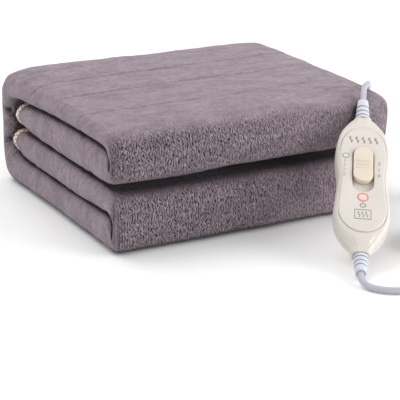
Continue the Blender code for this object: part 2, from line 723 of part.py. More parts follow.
def make_plug(finish, metal):
    """A flat two-blade plug with its moulded sleeve, lying on its broad side."""
    across = Vector((PLUG_HEADING.y, -PLUG_HEADING.x, 0))
    path = []
    radii = []
    for share, radius in PLUG_RELIEF_RINGS:
        path.append(PLUG_TIP + PLUG_HEADING * share * PLUG_RELIEF_LENGTH)
        radii.append(radius * MM)
    add_object("relief_plug", mesh_from("relief_plug", tapered_sweep(path, radii, RELIEF_SIDES)), finish, 30)
    rear = PLUG_TIP + PLUG_HEADING * (PLUG_RELIEF_LENGTH + GAP)
    rings = []
    for run, half_width, half_height in PLUG_SECTIONS:
        outline = rounded_box_outline(half_width * MM, half_height * MM, 0.8 * half_height * MM)
        rings.append([rear + PLUG_HEADING * run * MM + across * a + Vector((0, 0, up)) for a, up in outline])
    add_object("plug_body", mesh_from("plug_body", loft(rings)), finish, 40)
    face = rear + PLUG_HEADING * (PLUG_SECTIONS[-1][0] * MM + GAP)
    for index, side in enumerate((-1, 1)):
        rings = []
        for run, half_height in ((0.0, 3.1), (BLADE_LENGTH / MM - 1.6, 3.1), (BLADE_LENGTH / MM, 2.0)):
            outline = ((0.75, half_height), (-0.75, half_height), (-0.75, -half_height), (0.75, -half_height))
            rings.append([face + PLUG_HEADING * run * MM + across * (side * BLADE_SPACING / 2 + a * MM)
                          + Vector((0, 0, up * MM)) for a, up in outline])
        add_object(f"plug_blade_{index + 1}", mesh_from(f"plug_blade_{index + 1}", loft(rings)), metal)


def main():
    clear_scene()
    pile = material("coral fleece", (0.28, 0.23, 0.27), 0.95)
    binding = material("satin binding", (0.78, 0.68, 0.50), 0.6)
    shell_plastic = material("cream ABS", (0.82, 0.76, 0.70), 0.35)
    knob_plastic = material("ivory ABS", (0.80, 0.72, 0.60), 0.4)
    sleeve = material("soft PVC sleeve", (0.72, 0.74, 0.80), 0.5)
    lead = material("PVC lead", (0.68, 0.69, 0.76), 0.5)
    red = material("red lamp lens", (0.85, 0.35, 0.34), 0.2)
    clear = material("clear lamp lens", (0.80, 0.80, 0.80), 0.15)
    strap = material("hook and loop strap", (0.55, 0.55, 0.60), 0.9)
    nickel = material("nickel-plated brass", (0.72, 0.70, 0.66), 0.25, 1.0)

    make_blanket(pile)
    stations = band_stations()
    make_binding("binding_upper", (stations[0], stations[1]), binding)
    make_binding("binding_lower", (stations[-1], stations[-2]), binding)
    outline = make_housing(shell_plastic)
    make_plate(outline, shell_plastic)
    make_lamps(red, clear)
    make_slider(knob_plastic)
    relief("relief_upper", UPPER_RELIEF, sleeve)
    relief("relief_lower", LOWER_RELIEF, sleeve)
    make_entry(sleeve)
    make_leads(lead)
    make_coil(lead)
    make_tie(strap)
    make_plug(sleeve, nickel)


main()
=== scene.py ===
import math
from collections import namedtuple

import bmesh
import bpy
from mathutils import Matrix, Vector, noise


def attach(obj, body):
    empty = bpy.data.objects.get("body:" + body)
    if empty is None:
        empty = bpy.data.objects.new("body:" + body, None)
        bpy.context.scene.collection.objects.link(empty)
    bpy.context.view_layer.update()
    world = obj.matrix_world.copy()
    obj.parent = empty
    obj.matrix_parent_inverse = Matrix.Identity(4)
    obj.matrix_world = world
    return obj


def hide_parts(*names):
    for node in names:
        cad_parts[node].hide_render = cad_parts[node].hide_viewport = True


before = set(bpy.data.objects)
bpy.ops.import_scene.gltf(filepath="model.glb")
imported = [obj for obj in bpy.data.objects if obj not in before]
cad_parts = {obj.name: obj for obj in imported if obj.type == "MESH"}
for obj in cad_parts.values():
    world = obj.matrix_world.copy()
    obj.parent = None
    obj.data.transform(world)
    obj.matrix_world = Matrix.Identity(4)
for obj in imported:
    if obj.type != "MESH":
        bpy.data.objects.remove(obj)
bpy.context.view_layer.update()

scene = bpy.context.scene
MM = 0.001

# ------------------------------------------------------------ the table top, the light and the camera
# A matt white table top without a join. A wide soft box hangs behind the stack, a weak one stands on
# its left and a third in front on its right, in an even bright surround. The tops catch most light.


def linear(code):
    """An sRGB hex colour as Blender's linear red, green, blue and alpha."""
    parts = [int(code[place:place + 2], 16) / 255 for place in (1, 3, 5)]
    return (*[p / 12.92 if p <= 0.04045 else ((p + 0.055) / 1.055) ** 2.4 for p in parts], 1.0)


def node(tree, kind, inputs=None, **settings):
    """Add a node. Settings are its own fields; inputs are values, or the sockets they are fed from."""
    made = tree.nodes.new(kind)
    for field, value in settings.items():
        setattr(made, field, value)
    for name, value in (inputs or {}).items():
        if isinstance(value, bpy.types.NodeSocket):
            tree.links.new(value, made.inputs[name])
        else:
            made.inputs[name].default_value = value
    return made


def material(name, colour, roughness, **shader):
    """A new material with its Principled shader's own values; returns it, its tree and the shader."""
    made = bpy.data.materials.new(name)
    made.use_nodes = True
    tree = made.node_tree
    principled = tree.nodes["Principled BSDF"]
    principled.inputs["Base Color"].default_value = linear(colour)
    principled.inputs["Roughness"].default_value = roughness
    for socket, value in shader.items():
        principled.inputs[socket.replace("_", " ")].default_value = value
    return made, tree, principled


def link_object(name, data, finish=None, sharp_from=None):
    """Put mesh or curve data into the scene as an object, shaded smooth up to an angle in degrees."""
    made = bpy.data.objects.new(name, data)
    scene.collection.objects.link(made)
    if finish:
        data.materials.append(finish)
    if sharp_from:
        data.shade_smooth()
        data.set_sharp_from_angle(angle=math.radians(sharp_from))
    return made


table_top, tree, shader = material("matt white laminate", "#FBFBFB", 0.7)
shape = bmesh.new()
bmesh.ops.create_grid(shape, x_segments=1, y_segments=1, size=6.0)
table_mesh = bpy.data.meshes.new("table_top")
shape.to_mesh(table_mesh)
shape.free()
table = link_object("table_top", table_mesh, table_top)
table.location.z = -0.0006

world = bpy.data.worlds.new("studio surround")
world.use_nodes = True
scene.world = world
surround = world.node_tree.nodes["Background"]
surround.inputs["Color"].default_value = linear("#FFFFFF")
surround.inputs["Strength"].default_value = 0.72
scene.view_settings.view_transform = "Standard"

SOFT_BOXES = (
    # name, place, size, watts
    ("soft_box_overhead", Vector((-0.35, 0.85, 1.7)), 1.5, 16.5),
    ("soft_box_left", Vector((-1.7, 0.15, 0.9)), 1.2, 3.0),
    ("soft_box_right", Vector((1.00, -1.15, 0.45)), 1.1, 18.0),
)
for name, place, size, watts in SOFT_BOXES:
    lamp = bpy.data.lights.new(name, "AREA")
    lamp.size = size
    lamp.energy = watts
    holder = link_object(name, lamp)
    holder.location = place
    holder.rotation_euler = (Vector((0, 0, 0.05)) - place).to_track_quat("-Z", "Y").to_euler()

FRAME_WIDTH = 400         # the frame's width and height
FOCAL_LENGTH = 1550       # the lens's focal length in the same units
camera_data = bpy.data.cameras.new("camera")
camera_data.sensor_width = 36
camera_data.lens = 36 * FOCAL_LENGTH / FRAME_WIDTH
camera_data.clip_start = 0.05
camera = link_object("camera", camera_data)
camera.location = (-0.7017, -1.3347, 0.5133)
camera.rotation_euler = (math.radians(90 - 19.15), 0, math.radians(-28.104))
scene.camera = camera

# ------------------------------------------------------------ the hand controller's place
# The controller leans on its lower sleeve in front of the stack, face up. Its own grid runs across,
# along towards the blanket's lead, and out of the face, in units that suit a 155 mm body.

CONTROLLER_UNIT = 1.08 * MM
CONTROLLER_MIDDLE = Vector((0.0720, -0.2022, 0.0440))
slope, turn, lean = math.radians(30), math.radians(24), math.radians(8)
flat_across = Vector((math.cos(turn), -math.sin(turn), 0))
flat_along = Vector((math.cos(slope) * math.sin(turn), math.cos(slope) * math.cos(turn), math.sin(slope)))
OUT = flat_across.cross(flat_along)
ALONG = flat_along * math.cos(lean) + flat_across * math.sin(lean)
ACROSS = flat_across * math.cos(lean) - flat_along * math.sin(lean)


def on_controller(across, along, out):
    """A point given in the controller's own units, from the middle of its back."""
    return CONTROLLER_MIDDLE + (ACROSS * across + ALONG * along + OUT * out) * CONTROLLER_UNIT


# ------------------------------------------------------------ the leads
# A round two-core lead in soft PVC, 5.7 mm thick. The first stretch comes out of the blanket's right
# end, over its edge and into the controller; the second runs from the controller's foot along the
# table to a tied coil of seven turns and on to the plug.

LEAD_RADIUS = 0.00285
GAP = 0.3 * MM
RELIEF_LENGTH = 0.024
HALF_THICKNESS = 11.75    # of the controller, in its own units


def catmull(before, start, end, after, share):
    """A point on the smooth curve between start and end."""
    return 0.5 * (
        2 * start
        + (end - before) * share
        + (2 * before - 5 * start + 4 * end - after) * share ** 2
        + (3 * start - before - 3 * end + after) * share ** 3
    )


def smooth_rows(rows, steps):
    """Rows of vectors, smoothed: steps[i] intervals between row i and row i + 1."""
    ends = [2 * rows[0] - rows[1]] + list(rows) + [2 * rows[-1] - rows[-2]]
    smoothed = []
    for index, count in enumerate(steps[:len(rows) - 1]):
        for step in range(count):
            smoothed.append(catmull(*ends[index:index + 4], step / count))
    return smoothed + [rows[-1].copy()]


def run_lengths(points):
    """The distance along a chain of points at each of them."""
    runs = [0.0]
    for near, far in zip(points, points[1:]):
        runs.append(runs[-1] + (far - near).length)
    return runs


def share_at(runs, target, place=0):
    """The interval of runs that a distance falls in, looked for from place on, and its share of it."""
    while place < len(runs) - 2 and runs[place + 1] < target:
        place += 1
    return place, min((target - runs[place]) / max(runs[place + 1] - runs[place], 1e-9), 1.0)


def evenly(points, spacing, steps=24):
    """The smooth curve through the points, as points about one spacing apart."""
    fine = smooth_rows(points, [steps] * len(points))
    runs = run_lengths(fine)
    count = max(2, round(runs[-1] / spacing))
    even = []
    place = 0
    for step in range(count + 1):
        place, share = share_at(runs, runs[-1] * step / count, place)
        even.append(fine[place].lerp(fine[place + 1], share))
    return even


def bent_path(start, heading, end_heading, length, steps=16):
    """A path that leaves along heading and turns evenly to end_heading over its length."""
    path = [start.copy()]
    for step in range(steps):
        share = (step + 0.5) / steps
        path.append(path[-1] + heading.slerp(end_heading, share) * (length / steps))
    return path


UPPER_RELIEF_END = (ALONG + Vector((0.10, 0.10, 0.55))).normalized()
LOWER_RELIEF_END = Vector((-ALONG.x, -ALONG.y, -0.06)).normalized()
UPPER_RELIEF = bent_path(on_controller(0, 77.5, HALF_THICKNESS) + ALONG * GAP, ALONG,
                         UPPER_RELIEF_END, RELIEF_LENGTH)
LOWER_RELIEF = bent_path(on_controller(0, -77.5, HALF_THICKNESS) - ALONG * GAP, -ALONG,
                         LOWER_RELIEF_END, RELIEF_LENGTH)
ENTRY_FACE = Vector((0.1476, 0.030, 0.0225))
ENTRY_LENGTH = 0.024
BLANKET_ROUTE = (
    (0.1770, 0.0300, 0.0225),
    (0.1890, 0.0260, 0.0190),
    (0.1965, 0.0140, 0.0105),
    (0.1940, -0.0020, 0.0045),
    (0.1860, -0.0180, 0.0042),
    (0.1775, -0.0320, 0.0100),
    (0.1700, -0.0430, 0.0240),
    (0.1655, -0.0520, 0.0440),
    (0.1640, -0.0600, 0.0640),
    (0.1635, -0.0670, 0.0820),
    (0.1620, -0.0750, 0.0985),
    (0.1572, -0.0845, 0.1105),
    (0.1500, -0.0950, 0.1168),
    (0.1425, -0.1045, 0.1192),
    (0.1345, -0.1130, 0.1207),
    (0.1278, -0.1205, 0.1195),
)
MAINS_ROUTE = (
    (0.0125, -0.2973, 0.0042),
    (0.0122, -0.3068, 0.0029),
    (0.0160, -0.3165, 0.0029),
    (0.0240, -0.3245, 0.0029),
    (0.0350, -0.3300, 0.0029),
    (0.0490, -0.3325, 0.0029),
    (0.0670, -0.3310, 0.0030),
    (0.0900, -0.3250, 0.0034),
    (0.1130, -0.3165, 0.0040),
    (0.1385, -0.3052, 0.0045),
)
TAIL_ROUTE = (
    (0.1865, -0.2377, 0.0092),
    (0.1878, -0.2240, 0.0084),
    (0.1893, -0.2100, 0.0077),
)
COIL_CENTRE = Vector((0.1435, -0.2575, 0.0))
COIL_RADII = (0.0412, 0.0354, 0.0296, 0.0238)
COIL_PITCH = 0.0058
COIL_BOTTOM_LAYER = 0.0046
COIL_START = math.radians(-65)
COIL_TURNS = 7.168
COIL_STEPS = 230
COIL_MIDDLE_RADIUS = 0.0325
COIL_MIDDLE_HEIGHT = 0.0075
PLUG_TIP = Vector((0.1916, -0.1940, 0.0074))
PLUG_HEADING = Vector((0.16, 1.0, 0.0)).normalized()


def ease(low, high, value):
    """A smooth step from 0 at low to 1 at high."""
    share = min(max((value - low) / (high - low), 0.0), 1.0)
    return share * share * (3 - 2 * share)


def coil_point(turns):
    """Where the wound lead lies after some turns: in on the lower layer, up, out on the upper one."""
    inward = sum(ease(k + 0.75, k + 1.0, turns) for k in range(3))
    outward = sum(ease(k + 0.25, k + 0.5, turns) for k in range(4, 7))
    radius = COIL_RADII[0] - COIL_PITCH * (inward - outward)
    height = COIL_BOTTOM_LAYER + COIL_PITCH * ease(3.5, 3.75, turns)
    angle = COIL_START + 2 * math.pi * turns
    return COIL_CENTRE + Vector((radius * math.cos(angle), radius * math.sin(angle), height))


def register(made, slot_name, *replaced, body="folded_blanket"):
    """Hang a piece on the empty of the body it rides on and hide the CAD nodes it stands for. slot_name is
    not used.
    """
    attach(made, body)
    if replaced:
        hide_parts(*replaced)
    return made


def lead(name, points, finish, *replaced):
    """A round lead along a chain of points, as a curve with closed ends."""
    data = bpy.data.curves.new(name, "CURVE")
    data.dimensions = "3D"
    data.bevel_depth = LEAD_RADIUS
    data.bevel_resolution = 4
    data.use_fill_caps = True
    spline = data.splines.new("POLY")
    spline.points.add(len(points) - 1)
    for place, point in zip(spline.points, points):
        place.co = (*point, 1.0)
    return register(link_object(name, data, finish), "lead", *replaced)


# Plasticised PVC: extruded, so it has a soft satin shine and very faint lengthwise draw marks.
pvc_lead, tree, shader = material("PVC lead", "#B2B1BC", 0.42, IOR=1.53)
place = node(tree, "ShaderNodeTexCoord").outputs["Object"]
cloud = node(tree, "ShaderNodeTexNoise", {"Vector": place, "Scale": 90.0, "Detail": 3.0})
tint = node(tree, "ShaderNodeMix", {"Factor": cloud.outputs["Fac"], "A": linear("#ABAAB6"),
                                    "B": linear("#B9B8C3")}, data_type="RGBA")
tree.links.new(tint.outputs["Result"], shader.inputs["Base Color"])
grain = node(tree, "ShaderNodeTexNoise", {"Vector": place, "Scale": 1400.0, "Detail": 2.0})
bump = node(tree, "ShaderNodeBump", {"Height": grain.outputs["Fac"], "Strength": 0.12, "Distance": 0.0002})
tree.links.new(bump.outputs["Normal"], shader.inputs["Normal"])

straight = 3 * MM
entry_end = ENTRY_FACE + Vector((ENTRY_LENGTH + GAP, 0, 0))
relief_tip = UPPER_RELIEF[-1] + UPPER_RELIEF_END * GAP
route = [entry_end + Vector((straight, 0, 0))] + [Vector(point) for point in BLANKET_ROUTE]
route.append(relief_tip + UPPER_RELIEF_END * straight)
blanket_points = [entry_end] + evenly(route, 2.5 * MM) + [relief_tip]
blanket_lead = lead("blanket_lead", blanket_points, pvc_lead, "lead_blanket")

foot_tip = LOWER_RELIEF[-1] + LOWER_RELIEF_END * GAP
tail_end = PLUG_TIP - PLUG_HEADING * GAP
route = [foot_tip + LOWER_RELIEF_END * straight] + [Vector(point) for point in MAINS_ROUTE]
route += [coil_point(COIL_TURNS * step / COIL_STEPS) for step in range(COIL_STEPS + 1)]
route += [Vector(point) for point in TAIL_ROUTE] + [tail_end - PLUG_HEADING * straight]
mains_points = [foot_tip] + evenly(route, 2.8 * MM, 6) + [tail_end]
mains_lead = lead("mains_lead", mains_points, pvc_lead, "lead_mains", "lead_coil", "lead_tail")

# ------------------------------------------------------------ the moulded sleeves on the leads
# Soft PVC strain reliefs, moulded onto the lead: one at each end of the controller, one where the lead
# leaves the blanket and one at the plug. Each tapers, with grooves that let it flex.

soft_sleeve, tree, shader = material("soft PVC sleeve", "#CACDD6", 0.48, IOR=1.53)
place = node(tree, "ShaderNodeTexCoord").outputs["Object"]
grain = node(tree, "ShaderNodeTexNoise", {"Vector": place, "Scale": 1800.0, "Detail": 2.0})
bump = node(tree, "ShaderNodeBump", {"Height": grain.outputs["Fac"], "Strength": 0.15, "Distance": 0.0002})
tree.links.new(bump.outputs["Normal"], shader.inputs["Normal"])
# Painted shade: the colour darkens from grey blue towards dark grey in the grooves and wherever the surface
# is closed in.
hollow_shade = node(tree, "ShaderNodeAmbientOcclusion", {"Distance": 0.004}, samples=6)
tint = node(tree, "ShaderNodeMix", {"Factor": hollow_shade.outputs["AO"], "A": linear("#70747F"),
                                    "B": linear("#CACDD6")}, data_type="RGBA")
tree.links.new(tint.outputs["Result"], shader.inputs["Base Color"])


def loft(rings):
    """A closed body through rings that have the same number of points."""
    shape = bmesh.new()
    loops = [[shape.verts.new(point) for point in ring] for ring in rings]
    for low, high in zip(loops, loops[1:]):
        for index in range(len(low)):
            after = (index + 1) % len(low)
            shape.faces.new((low[index], low[after], high[after], high[index]))
    shape.faces.new(loops[0])
    shape.faces.new(loops[-1])
    return shape


def mesh_from(name, shape):
    """The bmesh as a mesh, with its faces pointing out."""
    bmesh.ops.recalc_face_normals(shape, faces=shape.faces)
    data = bpy.data.meshes.new(name)
    shape.to_mesh(data)
    shape.free()
    return data


def joined(name, bodies):
    """One mesh of several closed bodies."""
    shape = bmesh.new()
    for body in bodies:
        part = mesh_from("part", body)
        shape.from_mesh(part)
        bpy.data.meshes.remove(part)
    return mesh_from(name, shape)


def along_path(path, distance):
    """The point that lies a distance along a chain of points."""
    for near, far in zip(path, path[1:]):
        step = (far - near).length
        if distance <= step:
            return near.lerp(far, distance / step)
        distance -= step
    return path[-1].copy()


def turned(path, profile, sides=40):
    """A round closed body along a path, through (share of the path, radius in millimetres) rows."""
    run = run_lengths(path)[-1]
    points = [along_path(path, share * run) for share, _ in profile]
    rings = []
    tangent = (path[1] - path[0]).normalized()
    side = tangent.orthogonal().normalized()
    for index, (point, (share, radius)) in enumerate(zip(points, profile)):
        before, after = max(share - 0.03, 0.0), min(share + 0.03, 1.0)
        ahead = along_path(path, after * run) - along_path(path, before * run)
        turned_by = tangent.rotation_difference(ahead.normalized())
        side = turned_by @ side
        tangent = ahead.normalized()
        other = tangent.cross(side)
        angles = [2 * math.pi * step / sides for step in range(sides)]
        rings.append([point + radius * MM * (math.cos(a) * side + math.sin(a) * other) for a in angles])
    return loft(rings)


def grooved(rows, groove=0.85, edge=0.012):
    """A sleeve's profile: (start, end, radius at start, radius at end) collars with rounded edges."""
    profile = []
    for start, end, first, last in rows:
        profile += [(start, first - groove), (start, first - 0.25), (start + edge, first),
                    (end - edge, last), (end, last - 0.25), (end, last - groove)]
    return profile


RELIEF_PROFILE = grooved((
    (0.00, 0.13, 6.9, 6.9), (0.19, 0.36, 6.75, 6.5), (0.42, 0.60, 6.3, 6.05),
    (0.66, 1.00, 5.9, 5.0),
))
ENTRY_PROFILE = grooved((
    (0.00, 0.095, 8.2, 8.2), (0.10, 0.37, 6.6, 6.0), (0.43, 0.57, 5.8, 5.4),
    (0.63, 1.00, 5.2, 4.0),
), groove=0.9)
PLUG_RELIEF_PROFILE = grooved((
    (0.00, 0.22, 4.0, 4.5), (0.29, 0.50, 4.7, 5.0), (0.57, 0.80, 5.2, 5.6), (0.86, 1.00, 5.7, 5.9),
), groove=0.8)
PLUG_RELIEF_LENGTH = 0.022


def sleeve(name, path, profile, replaced):
    """A moulded sleeve along a path."""
    return register(link_object(name, mesh_from(name, turned(path, profile)), soft_sleeve, 40),
                    "sleeve", replaced)


upper_sleeve = sleeve("upper_sleeve", UPPER_RELIEF, RELIEF_PROFILE, "relief_upper")
lower_sleeve = sleeve("lower_sleeve", LOWER_RELIEF, RELIEF_PROFILE, "relief_lower")
entry_path = [ENTRY_FACE + Vector((ENTRY_LENGTH * step / 8, 0, 0)) for step in range(9)]
entry_sleeve = sleeve("entry_sleeve", entry_path, ENTRY_PROFILE, "cord_entry")
plug_path = [PLUG_TIP + PLUG_HEADING * PLUG_RELIEF_LENGTH * step / 8 for step in range(9)]
plug_sleeve = sleeve("plug_sleeve", plug_path, PLUG_RELIEF_PROFILE, "relief_plug")

# ------------------------------------------------------------ the plug
# A flat two-blade plug in the same soft PVC, waisted for the fingers, with ribs on both broad sides.
# Its blades are punched brass strip, nickel plated, each with a round hole near its end.

PLUG_SECTIONS = (
    # distance from the rear, half width and half height, in millimetres
    (0.0, 6.4, 5.0), (0.4, 7.2, 5.8), (1.4, 8.6, 6.5), (5.0, 10.4, 7.0), (12.0, 11.0, 7.1),
    (20.0, 10.4, 7.0), (26.0, 11.8, 7.1), (31.0, 12.6, 7.1), (32.8, 12.3, 6.9), (33.5, 11.8, 6.4),
    (33.8, 11.0, 5.7),
)
plug_across = Vector((PLUG_HEADING.y, -PLUG_HEADING.x, 0))
plug_rear = PLUG_TIP + PLUG_HEADING * (PLUG_RELIEF_LENGTH + GAP)


def rounded_box(half_width, half_height, radius, arc_steps=6):
    """A rounded rectangle's (across, up) points, about its middle."""
    outline = []
    for quarter, (side, level) in enumerate(((1, 1), (-1, 1), (-1, -1), (1, -1))):
        for step in range(arc_steps + 1):
            angle = math.pi / 2 * (quarter + step / arc_steps)
            outline.append((side * (half_width - radius) + radius * math.cos(angle),
                            level * (half_height - radius) + radius * math.sin(angle)))
    return outline


rows = smooth_rows([Vector(row) for row in PLUG_SECTIONS], [1, 3, 4, 6, 6, 5, 4, 3, 2, 2])
rings = []
for row in rows:
    ring = rounded_box(row.y * MM, row.z * MM, 0.8 * row.z * MM)
    centre = plug_rear + PLUG_HEADING * row.x * MM
    rings.append([centre + plug_across * a + Vector((0, 0, up)) for a, up in ring])
plug = link_object("plug", mesh_from("plug", loft(rings)), soft_sleeve, 40)
register(plug, "sleeve", "plug_body")

ribs = []
for level in (1, -1):
    for rib in range(5):
        run = 9.0 + 3.2 * rib
        centre = plug_rear + PLUG_HEADING * run * MM + Vector((0, 0, level * 6.95 * MM))
        rings = []
        for reach, grown in ((-6.2, 0.25), (-5.6, 0.6), (5.6, 0.6), (6.2, 0.25)):
            ring = rounded_box(grown * MM, grown * MM, 0.9 * grown * MM, 3)
            rings.append([centre + plug_across * reach * MM + PLUG_HEADING * a + Vector((0, 0, up))
                          for a, up in ring])
        ribs.append(loft(rings))
plug_ribs = link_object("plug_ribs", joined("plug_ribs", ribs), soft_sleeve, 40)
register(plug_ribs, "sleeve")

# Nickel plate: a warm silver with a soft brushed shine from the rolled strip beneath.
nickel_plate, tree, shader = material("nickel plate on brass", "#C9C5BC", 0.28, Metallic=1.0)
place = node(tree, "ShaderNodeTexCoord").outputs["Object"]
brushed = node(tree, "ShaderNodeMapping", {"Vector": place, "Scale": (2600.0, 200.0, 2600.0)})
streaks = node(tree, "ShaderNodeTexNoise", {"Vector": brushed.outputs["Vector"], "Scale": 1.0,
                                            "Detail": 3.0})
rough = node(tree, "ShaderNodeMapRange", {"Value": streaks.outputs["Fac"], "To Min": 0.2, "To Max": 0.4})
tree.links.new(rough.outputs["Result"], shader.inputs["Roughness"])
for blade in ("plug_blade_1", "plug_blade_2"):
    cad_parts[blade].data.materials.clear()
    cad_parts[blade].data.materials.append(nickel_plate)

# ------------------------------------------------------------ the coil's tie
# A strap of hook-and-loop tape, closed round the four turns of each layer. It is woven nylon with a
# fine looped face, and its end laps over itself on the outside.

TIE_ANGLE = math.radians(150)
TIE_WIDTH = 8 * MM
tie_out = Vector((math.cos(TIE_ANGLE), math.sin(TIE_ANGLE), 0))
tie_side = Vector((-tie_out.y, tie_out.x, 0))
tie_middle = COIL_CENTRE + tie_out * COIL_MIDDLE_RADIUS + Vector((0, 0, COIL_MIDDLE_HEIGHT))
nylon_tape, tree, shader = material("woven nylon tape", "#8C8C96", 0.9, Sheen_Weight=0.4)
place = node(tree, "ShaderNodeTexCoord").outputs["Object"]
loops = node(tree, "ShaderNodeTexVoronoi", {"Vector": place, "Scale": 1500.0})
tint = node(tree, "ShaderNodeMix", {"Factor": loops.outputs["Distance"], "A": linear("#A3A3AC"),
                                    "B": linear("#74747E")}, data_type="RGBA")
tree.links.new(tint.outputs["Result"], shader.inputs["Base Color"])
bump = node(tree, "ShaderNodeBump", {"Height": loops.outputs["Distance"], "Strength": 0.6,
                                     "Distance": 0.0004})
tree.links.new(bump.outputs["Normal"], shader.inputs["Normal"])
shape = bmesh.new()
loops_made = []
for growth in (0.8 * MM, 1.5 * MM):
    outline = rounded_box(2 * COIL_PITCH + growth, COIL_PITCH + growth, LEAD_RADIUS + growth, 8)
    for side in (-1, 1):
        loops_made.append([shape.verts.new(tie_middle + tie_out * a + Vector((0, 0, up))
                                           + tie_side * side * TIE_WIDTH / 2) for a, up in outline])
for low, high in ((0, 1), (1, 3), (3, 2), (2, 0)):
    for index in range(len(loops_made[0])):
        after = (index + 1) % len(loops_made[0])
        shape.faces.new((loops_made[low][index], loops_made[low][after],
                         loops_made[high][after], loops_made[high][index]))
tie = link_object("coil_tie_strap", mesh_from("coil_tie_strap", shape), nylon_tape, 40)
register(tie, "tie", "coil_tie")

# ------------------------------------------------------------ the heated sheet
# Two skins of coral fleece sewn together over the heating wire, with stitched channels that show as
# faint lines. The sheet is folded in four across its width, then the band is folded back and forth
# into two bundles with one ply wrapped round their back.

Fold = namedtuple("Fold", "place inner_y inner_z outer_y outer_z steps")
# The band's path, in millimetres from the middle of the stack's foot. Inner is the side that faces
# the creases and the hollow, outer the side that shows.
FOLDS = (
    Fold("upper band, bound end", 87, 90.3, 87, 67.3, 1),
    Fold("upper band, rear", 70, 95.2, 70, 62.6, 2),
    Fold("upper band, middle", 0, 96.0, 0, 62.2, 2),
    Fold("upper band, front", -85, 96.8, -90, 63.0, 1),
    Fold("upper hook, start", -112, 95.4, -113, 63.8, 1),
    Fold("upper hook, back", -121.5, 88.5, -126, 66.5, 1),
    Fold("upper hook, tip", -122.5, 82.0, -134, 72.5, 1),
    Fold("upper face, low", -124.2, 86.5, -136.5, 85.0, 1),
    Fold("upper face, high", -121.6, 92.8, -133, 98.0, 1),
    Fold("upper shoulder", -113.5, 97.4, -125, 109.0, 1),
    Fold("top, front", -90, 98.8, -104, 114.5, 1),
    Fold("top, front quarter", -45, 98.4, -50, 116.3, 2),
    Fold("top, middle", 10, 98.2, 10, 116.5, 2),
    Fold("top, rear quarter", 62, 98.0, 66, 116.5, 1),
    Fold("top, rear", 96, 96.5, 113, 116.4, 1),
    Fold("wrap, shoulder", 107, 89.0, 132, 110.5, 1),
    Fold("wrap, upper", 113, 77.0, 137.8, 92.0, 1),
    Fold("wrap, middle", 110, 62.0, 138.3, 61.0, 1),
    Fold("wrap, lower", 114, 48.0, 137.5, 28.0, 1),
    Fold("wrap, foot", 109, 37.0, 131, 6.5, 1),
    Fold("bottom, rear", 96, 31.0, 114, 0.0, 1),
    Fold("bottom, rear quarter", 60, 30.6, 64, 0.0, 2),
    Fold("bottom, middle", 0, 30.4, 0, 0.0, 2),
    Fold("bottom, front", -85, 32.4, -92, 0.0, 1),
    Fold("lower hook, start", -113, 33.6, -116, 0.0, 1),
    Fold("lower hook, back", -124, 29.0, -130, 1.2, 1),
    Fold("lower hook, tip", -126, 18.0, -136.5, 7.5, 1),
    Fold("lower face, low", -127.8, 22.5, -138.5, 21.0, 1),
    Fold("lower face, high", -126, 31.5, -137.5, 40.5, 1),
    Fold("lower shoulder", -114, 35.8, -130.5, 54.0, 1),
    Fold("lower band, front", -88, 34.6, -108, 60.4, 1),
    Fold("lower band, front quarter", -45, 32.6, -52, 60.4, 2),
    Fold("lower band, middle", 5, 32.2, 5, 60.8, 2),
    Fold("lower band, rear", 78, 32.8, 78, 60.4, 1),
    Fold("lower band, bound end", 96, 38.0, 96, 58.0, 0),
)
STACK_WIDTH = 0.300
STACK_DEPTH = 0.270
STACK_HEIGHT = 0.1165
WAIST = 61.5 * MM         # height of the gap between the two bundles
PLY_SLACK = 0.012
FOLD_DEPTH = 9 * MM
FOLD_WALL = 4.4 * MM
FOLD_SLIP = 0.7 * MM
HEM_SETBACK = 3 * MM
TURN_INSET = 8 * MM       # from the right end, where the turned plies start to round
BAND_THICKNESS = 0.028
Corner = namedtuple("Corner", "x_side y_side upper_radius lower_radius")
CORNERS = (
    Corner(1, -1, 0.015, 0.014), Corner(-1, -1, 0.008, 0.007),
    Corner(1, 1, 0.018, 0.016), Corner(-1, 1, 0.009, 0.009),
)
SEEN_STEP = 3.2 * MM      # the mesh's step where the cloth shows
HIDDEN_STEP = 24 * MM     # between the plies
UNDER_STEP = 10 * MM      # on the underside
WRAP_STEP = 2.4 * MM      # where the wrapped ply creases
CHANNEL_STEP = 1.4 * MM   # and over the stitched channels
CORNER_DROOP = 8 * MM     # how far the upper left corner at the back hangs down


def settle(point):
    """Where a point of the ideal stack lies once its corners slump and its layers give a little."""
    x, y, z = point
    for corner in CORNERS:
        radius = corner.upper_radius if z > WAIST else corner.lower_radius
        across = corner.x_side * x - (STACK_WIDTH / 2 - radius)
        along = corner.y_side * y - (STACK_DEPTH / 2 - radius)
        if across > 0 and along > 0:
            pull = max(across, along) / math.hypot(across, along)
            x += corner.x_side * across * (pull - 1)
            y += corner.y_side * along * (pull - 1)
    height = max(0.0, min(1.0, z / STACK_HEIGHT))
    dip = math.exp(-((x + 0.075) / 0.055) ** 2)
    z -= 1.5 * MM * dip * 4 * height * (1 - height)
    right_end = max(0.0, (x - 0.105) / 0.045)
    z -= 1.6 * MM * right_end ** 2 * height
    bulge = math.exp(-((z - 0.090) / 0.024) ** 2)
    x += 4.5 * MM * right_end ** 2 * bulge
    rear = max(0.0, min(1.0, 2 * y / STACK_DEPTH))
    left_end = max(0.0, min(1.0, (0.06 - x) / 0.16))
    z += 3.2 * MM * left_end * rear * height ** 2
    x -= 3.7 * MM * left_end ** 3 * rear ** 2
    y += 1.2 * MM * math.sin(14 * x + 1.1) * height * (1 - abs(y) / STACK_DEPTH)
    reach = max(0.0, (-0.112 - x) / 0.038)
    z -= CORNER_DROOP * reach ** 2 * ease(-0.03, 0.09, y) * ease(0.068, 0.110, z)
    return Vector((x, y, z))


